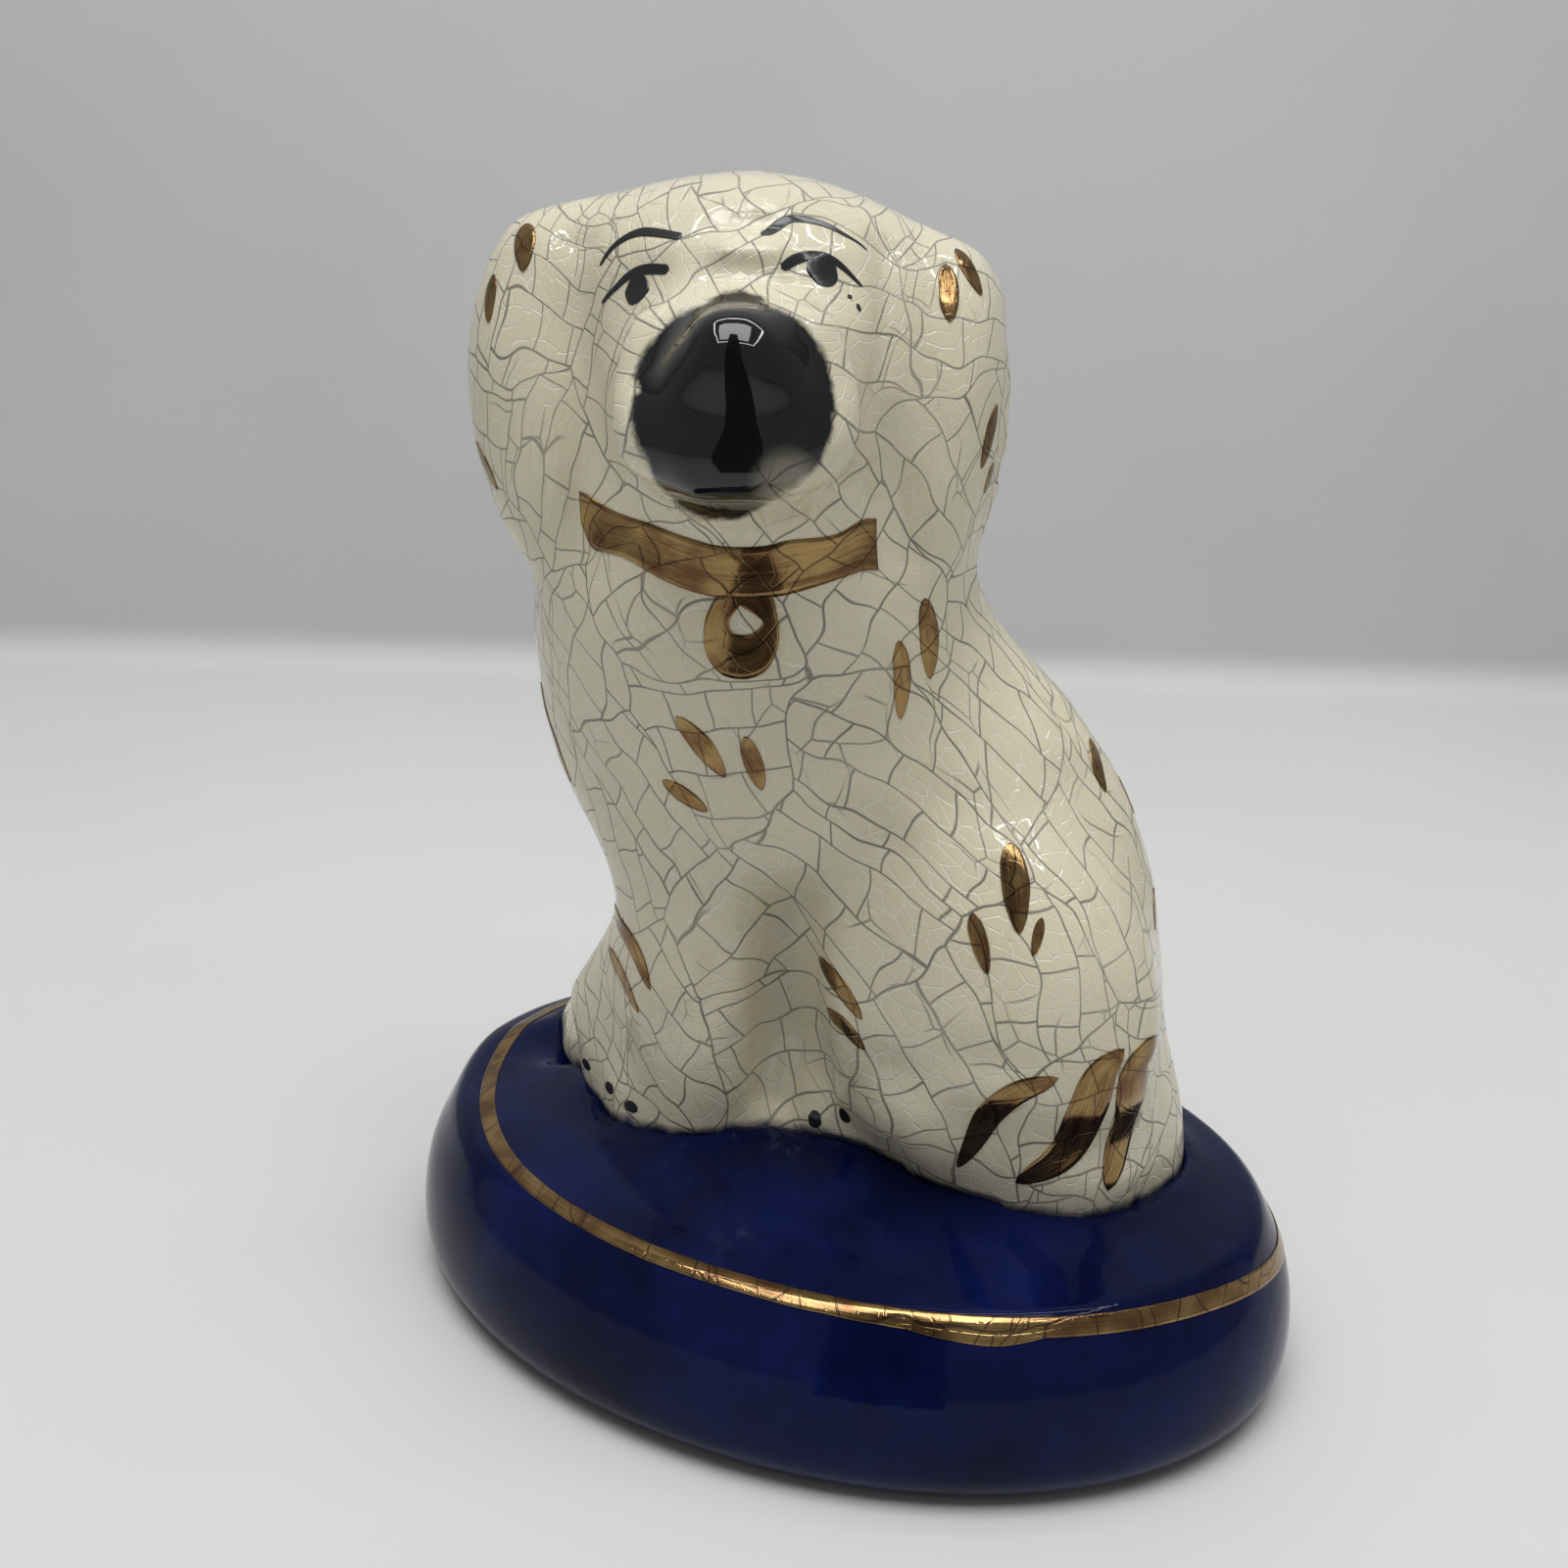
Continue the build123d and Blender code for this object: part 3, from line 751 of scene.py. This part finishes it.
def biscuit_clay(settings):
    """Unglazed clay with fine grit and handling stains."""
    material, board, shader, place = new_material("biscuit_clay")
    tone = board.noise(place, 90.0, 5.0, 0.6)
    clay = board.colour(board.ramp(tone, 0.3, 0.75), settings.biscuit[:], settings.biscuit_stain[:])
    board.feed(shader.inputs["Base Color"], clay)
    grit = board.noise(place, 2600.0, 3.0, 0.7)
    board.feed(shader.inputs["Normal"], board.bump(grit, 0.06 * MM, 0.6))
    shader.inputs["Roughness"].default_value = 0.85
    return material


def stage_paint(name, tone, upper):
    """Matt paint of the stage, of another tone above the floor."""
    material, board, shader, place = new_material(name)
    cloud = board.ramp(board.noise(place, 5.0, 3.0), 0.3, 0.7, 0.0, 0.1)
    height = board.node("ShaderNodeSeparateXYZ", {"Vector": place}).outputs["Z"]
    paint = board.colour(board.ramp(height, 0.0, 0.012), tone[:], upper[:])
    board.feed(shader.inputs["Base Color"], board.colour(cloud, paint, (1.0, 1.0, 1.0, 1.0)))
    shader.inputs["Roughness"].default_value = 0.65
    return material


# Brush touches in gold


def smooth_path(spots, count):
    """Evenly placed points on a soft curve through some spots."""
    ends = [spots[0] * 2 - spots[1]] + spots + [spots[-1] * 2 - spots[-2]]
    dense = []
    for i in range(1, len(ends) - 2):
        a, b, c, d = ends[i - 1 : i + 3]
        for step in range(12):
            t = step / 12
            dense.append(
                0.5
                * (
                    2 * b
                    + (c - a) * t
                    + (2 * a - 5 * b + 4 * c - d) * t**2
                    + (3 * b - a - 3 * c + d) * t**3
                )
            )
    dense.append(spots[-1].copy())
    lengths = [0.0]
    for a, b in zip(dense[:-1], dense[1:]):
        lengths.append(lengths[-1] + (b - a).length)
    wanted = np.linspace(0, lengths[-1], count)
    axes = [np.interp(wanted, lengths, [p[k] for p in dense]) for k in range(3)]
    return [Vector(row) for row in zip(*axes)]


def touch_width(share, widest):
    """Width of a pointed brush touch along its length, from 0 to 1."""
    rise = share / widest if share < widest else (1 - share) / (1 - widest)
    return max(0.0, 1 - (1 - rise) ** 2) ** 0.62


def strip_edges(tree, path, width_at, seed):
    """The two edges of a brush strip along a path, each with a slight waver."""
    edges = ([], [])
    final = len(path) - 1
    for i, spot in enumerate(path):
        ahead = path[min(i + 1, final)] - path[max(i - 1, 0)]
        sideways = tree.find_nearest(spot)[1].cross(ahead).normalized()
        for edge, side in zip(edges, (-1, 1)):
            waver = noise.noise(Vector((4 * i / final, seed, side * 2.5)))
            half = width_at(i / final) * 0.5 * (1 + 0.14 * waver)
            edge.append(spot + sideways * (side * half))
    return edges


def touch_ribbons(tree, touches):
    """Edges of pointed brush touches."""
    ribbons = []
    for seed, (points, width, widest) in enumerate(touches):
        path = smooth_path([touch(tree, *p) for p in points], 29)
        shape = lambda share, w=width, m=widest: w * MM * touch_width(share, m)
        ribbons.append(strip_edges(tree, path, shape, seed * 1.7 + 0.3))
    return ribbons


def line_ribbons(tree, lines):
    """Edges of brush lines with round ends whose width changes along them."""
    ribbons = []
    for seed, line in enumerate(lines):
        path = smooth_path([touch(tree, x, y) for x, y, _ in line], 41)
        halves = [half for _, _, half in line]
        steps = np.linspace(0, 1, len(halves))

        def shape(share):
            end = min(share, 1 - share) / 0.06
            taper = math.sqrt(1 - max(0.0, 1 - end) ** 2)
            return 2 * MM * taper * float(np.interp(share, steps, halves))

        ribbons.append(strip_edges(tree, path, shape, seed * 1.3 + 0.6))
    return ribbons


def dot_ribbons(tree, dots):
    """Edges of oval brush dots."""
    ribbons = []
    for seed, (x, y, width, length) in enumerate(dots):
        middle = touch(tree, x, y)
        normal = tree.find_nearest(middle)[1]
        up = (Vector((0, 0, 1)) - normal * normal.z).normalized() * (length * MM / 2)
        path = smooth_path([middle + up, middle, middle - up], 25)
        shape = lambda share, w=width: w * MM * 2 * math.sqrt(share * (1 - share))
        ribbons.append(strip_edges(tree, path, shape, seed * 2.1 + 0.4))
    return ribbons


def painted_piece(name, ribbons, tree, paint, lift, node):
    """One piece of brush work, laid on a surface between pairs of edges."""
    bm = bmesh.new()
    bm.loops.layers.uv.new("brush")
    for first, last in ribbons:
        final = len(first) - 1
        made = bmesh.ops.create_grid(bm, x_segments=final, y_segments=8, size=0.5, calc_uvs=True)
        for vert in made["verts"]:
            i = round((vert.co.x + 0.5) * final)
            spot = first[i].lerp(last[i], vert.co.y + 0.5)
            place, normal, _, _ = tree.find_nearest(spot)
            vert.co = place + normal * lift
    bmesh.ops.remove_doubles(bm, verts=bm.verts, dist=0.004 * MM)
    mesh = bpy.data.meshes.new(name)
    bm.to_mesh(mesh)
    bm.free()
    glaze_map(mesh)
    material, slot = paint
    piece = new_piece(name, mesh, bpy.data.materials[material], node)
    film = piece.modifiers.new("Film", "SOLIDIFY")
    film.thickness = 2 * lift
    film.offset = 0.0
    return piece


GOLD = ("gold_lustre", "gilding")
BLACK = ("black_enamel", "black_enamel")


# Settings


def length_setting(label, about, value):
    return bpy.props.FloatProperty(
        name=label, description=about, default=value, unit="LENGTH", precision=5, min=0.0
    )


def colour_setting(label, about, value):
    return bpy.props.FloatVectorProperty(
        name=label, description=about, default=(*value, 1.0), size=4, subtype="COLOR", min=0.0, max=1.0
    )


class DogFigureSettings(bpy.types.PropertyGroup):
    """Sizes and colours of the figure."""

    clay_grain: length_setting("Clay grain", "Mesh size of the modelled skin", 0.62 * MM)
    cushion_grain: length_setting("Cushion grain", "Mesh size of the cushion", 0.8 * MM)
    glaze_fillet: length_setting("Glaze fillet", "Rise of the blue glaze against the dog", 0.7 * MM)
    craze_cell: length_setting("Craze cell", "Usual size of a crackle cell", 5.3 * MM)
    craze_width: length_setting("Craze width", "Half width of a stained crack", 0.18 * MM)
    film_lift: length_setting("Gilding lift", "Height of the gold film above the glaze", 0.05 * MM)
    enamel_lift: length_setting("Enamel lift", "Height of the black film above the glaze", 0.03 * MM)
    line_width: length_setting("Base line width", "Width of the painted line on the base", 1.9 * MM)
    cream: colour_setting("Cream glaze", "Colour of the white glaze", (0.74, 0.685, 0.505))
    cream_shade: colour_setting("Cream shade", "Deeper tone of the white glaze", (0.68, 0.625, 0.455))
    craze_stain: colour_setting("Craze stain", "Colour of the stained cracks", (0.22, 0.2, 0.165))
    # Pale colour of the fine cracks: partly their own whitish look, partly a painted highlight.
    craze_pale_and_highlight: colour_setting("Pale craze", "Colour of the fine unstained cracks", (0.84, 0.82, 0.74))
    enamel: colour_setting("Black enamel", "Colour of muzzle, eyes, brows and claws", (0.003, 0.004, 0.004))
    enamel_thin: colour_setting("Thin enamel", "Colour of the black where it is thin", (0.018, 0.015, 0.013))
    blue: colour_setting("Cobalt glaze", "Colour of the cushion", (0.0015, 0.003, 0.024))
    blue_light: colour_setting("Cobalt glaze, thin", "Colour where the blue is thin", (0.004, 0.009, 0.07))
    blue_edge: colour_setting("Cobalt edge", "Colour of the blue where it runs on the white", (0.01, 0.015, 0.05))
    gold: colour_setting("Gold lustre", "Colour of the gilding", (0.36, 0.242, 0.097))
    gold_thin: colour_setting("Gold lustre, thin", "Colour where the gilding is thin", (0.15, 0.076, 0.035))
    gold_dark: colour_setting("Gold crack", "Colour of the cracks in the gilding", (0.05, 0.03, 0.02))
    biscuit: colour_setting("Biscuit", "Colour of the bare clay", (0.62, 0.54, 0.42))
    biscuit_stain: colour_setting("Biscuit stain", "Colour of stains on the bare clay", (0.47, 0.39, 0.29))
    floor: colour_setting("Floor", "Colour of the floor", (0.66, 0.66, 0.65))
    backdrop: colour_setting("Backdrop", "Paint of the backdrop", (0.54, 0.545, 0.54))
    card: colour_setting("Dark card", "Colour of the card behind the camera", (0.02, 0.02, 0.02))


# Operators


class DOGFIGURE_OT_stage(bpy.types.Operator):
    """Floor, backdrop, light and camera"""

    bl_idname = "dog_figure.stage"
    bl_label = "Stage"

    def execute(self, context):
        settings = context.scene.dog_figure
        scene = context.scene
        scene.view_settings.view_transform = "Standard"
        self.camera(scene)
        self.floor(scene, settings)
        self.lights(scene)
        self.dark_card(scene, settings)
        return {"FINISHED"}

    def camera(self, scene):
        right, up, forward = camera_axes()
        data = bpy.data.cameras.new("photo_camera")
        data.sensor_width = 36.0
        data.lens = FOCAL_PIXELS / IMAGE_SIZE * data.sensor_width
        data.clip_start = 0.005
        camera = bpy.data.objects.new("photo_camera", data)
        axes = Matrix((right, up, -forward)).transposed().to_4x4()
        camera.matrix_world = Matrix.Translation(CAMERA_PLACE) @ axes
        scene.collection.objects.link(camera)
        scene.camera = camera

    def floor(self, scene, settings):
        bm = bmesh.new()
        bmesh.ops.create_grid(bm, x_segments=1, y_segments=1, size=0.7)
        bmesh.ops.scale(bm, verts=bm.verts, vec=(1.6, 1, 1))
        back = max(bm.edges, key=lambda e: sum(v.co.y for v in e.verts))
        offset = BACKDROP_PLACE - max(v.co.y for v in bm.verts)
        bmesh.ops.translate(bm, verts=bm.verts, vec=(0, offset, 0))
        made = bmesh.ops.extrude_edge_only(bm, edges=[back])["geom"]
        raised = [g for g in made if isinstance(g, bmesh.types.BMVert)]
        bmesh.ops.translate(bm, verts=raised, vec=(0, 0, 0.9))
        bmesh.ops.bevel(
            bm, geom=[back], offset=0.012, segments=8, profile=0.5, affect="EDGES", material=-1
        )
        turn = Matrix.Rotation(math.radians(CAMERA_BEARING), 4, "Z")
        bmesh.ops.transform(bm, matrix=turn, verts=bm.verts)
        bmesh.ops.recalc_face_normals(bm, faces=bm.faces)
        mesh = bpy.data.meshes.new("studio_sweep")
        bm.to_mesh(mesh)
        bm.free()
        mesh.polygons.foreach_set("use_smooth", [True] * len(mesh.polygons))
        mesh.materials.append(stage_paint("studio_paint", settings.floor, settings.backdrop))
        sweep = bpy.data.objects.new("studio_sweep", mesh)
        scene.collection.objects.link(sweep)

    def lights(self, scene):
        turn = Matrix.Rotation(math.radians(CAMERA_BEARING), 4, "Z")
        for name, ((right, near, up), size, watts) in (PANELS | STRIPS).items():
            data = bpy.data.lights.new(name, "AREA")
            data.shape = "RECTANGLE"
            data.size, data.size_y = size
            data.energy = watts
            lamp = bpy.data.objects.new(name, data)
            place = turn @ Vector((right, -near, up))
            aim = turn.to_quaternion()
            if name in PANELS:
                aim = (Vector((0, 0, 0.08)) - place).to_track_quat("-Z", "Y")
                lamp.visible_glossy = near < up / 2
            lamp.matrix_world = Matrix.LocRotScale(place, aim, None)
            scene.collection.objects.link(lamp)
        world = bpy.data.worlds.new("studio_air")
        scene.world = world
        world.use_nodes = True
        board = Board(world.node_tree)
        ray = board.node("ShaderNodeLightPath").outputs
        mirrored = board.math("MAXIMUM", ray["Is Glossy Ray"], ray["Is Transmission Ray"])
        seen = board.math("MAXIMUM", ray["Is Camera Ray"], mirrored)
        air = world.node_tree.nodes["Background"]
        board.feed(air.inputs["Color"], board.colour(seen, AIR_DIM, AIR_PALE))

    def dark_card(self, scene, settings):
        right, near, width, height = DARK_CARD
        bm = bmesh.new()
        bmesh.ops.create_grid(bm, x_segments=1, y_segments=1, size=0.5)
        bmesh.ops.scale(bm, verts=bm.verts, vec=(width, height, 1))
        bmesh.ops.rotate(bm, verts=bm.verts, matrix=Matrix.Rotation(math.pi / 2, 3, "X"))
        bmesh.ops.translate(bm, verts=bm.verts, vec=(right, -near, height / 2))
        turn = Matrix.Rotation(math.radians(CAMERA_BEARING), 4, "Z")
        bmesh.ops.transform(bm, matrix=turn, verts=bm.verts)
        mesh = bpy.data.meshes.new("dark_card")
        bm.to_mesh(mesh)
        bm.free()
        mesh.materials.append(stage_paint("dark_paint", settings.card, settings.card))
        card = bpy.data.objects.new("dark_card", mesh)
        card.visible_camera = False
        card.visible_diffuse = False
        card.visible_shadow = False
        scene.collection.objects.link(card)


class DOGFIGURE_OT_glazed_dog(bpy.types.Operator):
    """Glazed dog with its modelled features and painted face"""

    bl_idname = "dog_figure.glazed_dog"
    bl_label = "Glazed dog"

    def execute(self, context):
        settings = context.scene.dog_figure
        mesh = modified(
            outer_skin(),
            ("REMESH", {"mode": "VOXEL", "voxel_size": settings.clay_grain}),
            ("SMOOTH", {"factor": 0.5, "iterations": 10}),
        )
        modelled(mesh, HOLLOWS, -1.0)
        modelled(mesh, SWELLS, 1.0)
        rubbed(mesh, RUBBED, RUBS)
        glaze_map(mesh)
        crackle_group()
        brush_group()
        material = white_glaze(settings, tree_of(mesh))
        piece = new_piece(
            "glazed_dog",
            mesh,
            material,
            "front_body_half",
            "back_body_half",
            "muzzle_enamel",
        )
        return {"FINISHED"}


class DOGFIGURE_OT_blue_cushion(bpy.types.Operator):
    """Blue cushion base whose glaze creeps up the feet of the dog"""

    bl_idname = "dog_figure.blue_cushion"
    bl_label = "Blue cushion"

    def execute(self, context):
        settings = context.scene.dog_figure
        dog = bpy.data.objects["glazed_dog"].data
        bm = bmesh.new()
        bm.from_mesh(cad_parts["cushion_base"].data)
        bmesh.ops.remove_doubles(bm, verts=bm.verts, dist=0.002 * MM)
        copy = bpy.data.meshes.new("cushion")
        bm.to_mesh(copy)
        bm.free()
        mesh = modified(
            copy,
            ("REMESH", {"mode": "VOXEL", "voxel_size": settings.cushion_grain}),
            ("SMOOTH", {"factor": 0.5, "iterations": 6}),
        )
        modelled(mesh, CUSHION_SWELLS, 1.0)
        rubbed(mesh, CUSHION_RUBBED, RUBS)
        self.creep(mesh, tree_of(dog), settings.glaze_fillet)
        piece = new_piece("blue_cushion", mesh, blue_glaze(settings), "cushion_base")
        self.measure(dog, tree_of(mesh))
        return {"FINISHED"}

    def creep(self, mesh, tree, rise):
        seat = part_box("front_body_half")[0].z
        points = points_of(mesh)
        for row in points:
            if row[2] < seat + 0.8 * MM:
                continue
            place, _, _, gap = tree.find_nearest(Vector(row))
            if gap > 6 * MM:
                continue
            wave = noise.noise(Vector(row) * 120.0)
            share = math.exp(-((gap / (2.0 * MM)) ** 2))
            row[2] += rise * share * (1 + 0.5 * wave)
            row[:2] += (np.array(place)[:2] - row[:2]) * 0.5 * math.exp(-((gap / MM) ** 2))
        move_points(mesh, points)

    def measure(self, dog, tree):
        heights = []
        for vertex in dog.vertices:
            _, _, _, gap = tree.find_nearest(vertex.co, 0.02)
            heights.append(0.02 if gap is None else gap)
        layer = dog.attributes.new("above_cushion", "FLOAT", "POINT")
        layer.data.foreach_set("value", heights)


class DOGFIGURE_OT_base_plate(bpy.types.Operator):
    """Bare clay plate under the base"""

    bl_idname = "dog_figure.base_plate"
    bl_label = "Base plate"

    def execute(self, context):
        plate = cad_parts["base_plate"]
        plate.data.materials.clear()
        plate.data.materials.append(biscuit_clay(context.scene.dog_figure))
        return {"FINISHED"}


class DOGFIGURE_OT_black_lines(bpy.types.Operator):
    """Black eyes, brows and claws"""

    bl_idname = "dog_figure.black_lines"
    bl_label = "Black lines"

    def execute(self, context):
        settings = context.scene.dog_figure
        tree = tree_of(bpy.data.objects["glazed_dog"].data)
        black_enamel(settings)
        lift = settings.enamel_lift
        eyes = line_ribbons(tree, LIDS) + dot_ribbons(tree, PUPILS)
        painted_piece("black_eyes", eyes, tree, BLACK, lift, "eye_enamel")
        painted_piece("black_brows", line_ribbons(tree, BROWS), tree, BLACK, lift, "brow_enamel")
        painted_piece("black_claws", dot_ribbons(tree, CLAWS), tree, BLACK, lift, "claw_enamel")
        return {"FINISHED"}


class DOGFIGURE_OT_collar(bpy.types.Operator):
    """Gilt collar and locket"""

    bl_idname = "dog_figure.collar"
    bl_label = "Collar and locket"

    def execute(self, context):
        settings = context.scene.dog_figure
        tree = tree_of(bpy.data.objects["glazed_dog"].data)
        gold_lustre(settings)
        lift = settings.film_lift
        band = self.edges(tree, COLLAR_FOOT, COLLAR_TOP, 90)
        painted_piece("gilt_collar", [band], tree, GOLD, lift, "collar_gilding")
        ring = self.edges(tree, LOCKET_HOLE, LOCKET_RIM, 61)
        painted_piece("gilt_locket", [ring], tree, GOLD, lift, "locket_gilding")
        return {"FINISHED"}

    def edges(self, tree, first, last, count):
        return [smooth_path([touch(tree, *p) for p in line], count) for line in (first, last)]


class DOGFIGURE_OT_gold_touches(bpy.types.Operator):
    """Gold brush touches on the coat and stripes on the tail"""

    bl_idname = "dog_figure.gold_touches"
    bl_label = "Gold touches"

    def execute(self, context):
        settings = context.scene.dog_figure
        tree = tree_of(bpy.data.objects["glazed_dog"].data)
        for name, touches, node in (
            ("gilt_head_touches", HEAD_TOUCHES, "head_flecks"),
            ("gilt_chest_touches", CHEST_TOUCHES, "chest_flecks"),
            ("gilt_shoulder_touches", SHOULDER_TOUCHES, "shoulder_flecks"),
            ("gilt_leg_touches", LEG_TOUCHES, "leg_flecks"),
            ("gilt_haunch_touches", HAUNCH_TOUCHES, "haunch_flecks"),
            ("gilt_back_touches", BACK_TOUCHES, "back_flecks"),
            ("gilt_tail_stripes", TAIL_TOUCHES, "tail_stripes"),
        ):
            painted_piece(name, touch_ribbons(tree, touches), tree, GOLD, settings.film_lift, node)
        return {"FINISHED"}


class DOGFIGURE_OT_base_line(bpy.types.Operator):
    """Hand-painted gold line round the shoulder of the cushion"""

    bl_idname = "dog_figure.base_line"
    bl_label = "Base line"

    def execute(self, context):
        settings = context.scene.dog_figure
        tree = tree_of(bpy.data.objects["blue_cushion"].data)
        _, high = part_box("cushion_base")
        spots = [touch(tree, *p) for p in BASE_LINE]
        bearings = [math.atan2(p.y / high.y, p.x / high.x) for p in spots]
        shares = [math.hypot(p.y / high.y, p.x / high.x) for p in spots]
        round_base = np.linspace(0.5 * math.pi, 2.5 * math.pi, 120, endpoint=False)
        shares = np.interp(round_base, bearings, shares, period=2 * math.pi)
        for _ in range(LINE_EASING):
            shares = (shares + (np.roll(shares, 1) + np.roll(shares, -1)) / 2) / 2
        path = []
        for angle, share in zip(round_base, shares):
            above = Vector((high.x * share * math.cos(angle), high.y * share * math.sin(angle), 0.1))
            path.append(tree.ray_cast(above, Vector((0, 0, -1)))[0])
        path.append(path[0].copy())
        path = smooth_path(path, 361)
        line = strip_edges(tree, path, lambda share: settings.line_width, 0.3)
        ribbons = [line, *touch_ribbons(tree, BASE_OVERLAP)]
        painted_piece("gilt_base_line", ribbons, tree, GOLD, settings.film_lift, "base_line_gilding")
        return {"FINISHED"}


class DOGFIGURE_PT_panel(bpy.types.Panel):
    """Panel that makes the figure piece by piece"""

    bl_label = "Dog Figure"
    bl_idname = "DOGFIGURE_PT_panel"
    bl_space_type = "VIEW_3D"
    bl_region_type = "UI"
    bl_category = "Dog Figure"

    def draw(self, context):
        for operator in OPERATORS:
            self.layout.operator(operator.bl_idname)
        for key in DogFigureSettings.__annotations__:
            self.layout.prop(context.scene.dog_figure, key)


OPERATORS = (
    DOGFIGURE_OT_stage,
    DOGFIGURE_OT_glazed_dog,
    DOGFIGURE_OT_blue_cushion,
    DOGFIGURE_OT_base_plate,
    DOGFIGURE_OT_black_lines,
    DOGFIGURE_OT_collar,
    DOGFIGURE_OT_gold_touches,
    DOGFIGURE_OT_base_line,
)
CLASSES = (DogFigureSettings, *OPERATORS, DOGFIGURE_PT_panel)


def register():
    for each in CLASSES:
        bpy.utils.register_class(each)
    bpy.types.Scene.dog_figure = bpy.props.PointerProperty(type=DogFigureSettings)


def unregister():
    del bpy.types.Scene.dog_figure
    for each in reversed(CLASSES):
        bpy.utils.unregister_class(each)


def main():
    register()
    bpy.ops.dog_figure.stage()
    bpy.ops.dog_figure.glazed_dog()
    bpy.ops.dog_figure.blue_cushion()
    bpy.ops.dog_figure.base_plate()
    bpy.ops.dog_figure.black_lines()
    bpy.ops.dog_figure.collar()
    bpy.ops.dog_figure.gold_touches()
    bpy.ops.dog_figure.base_line()


if __name__ == "__main__":
    main()
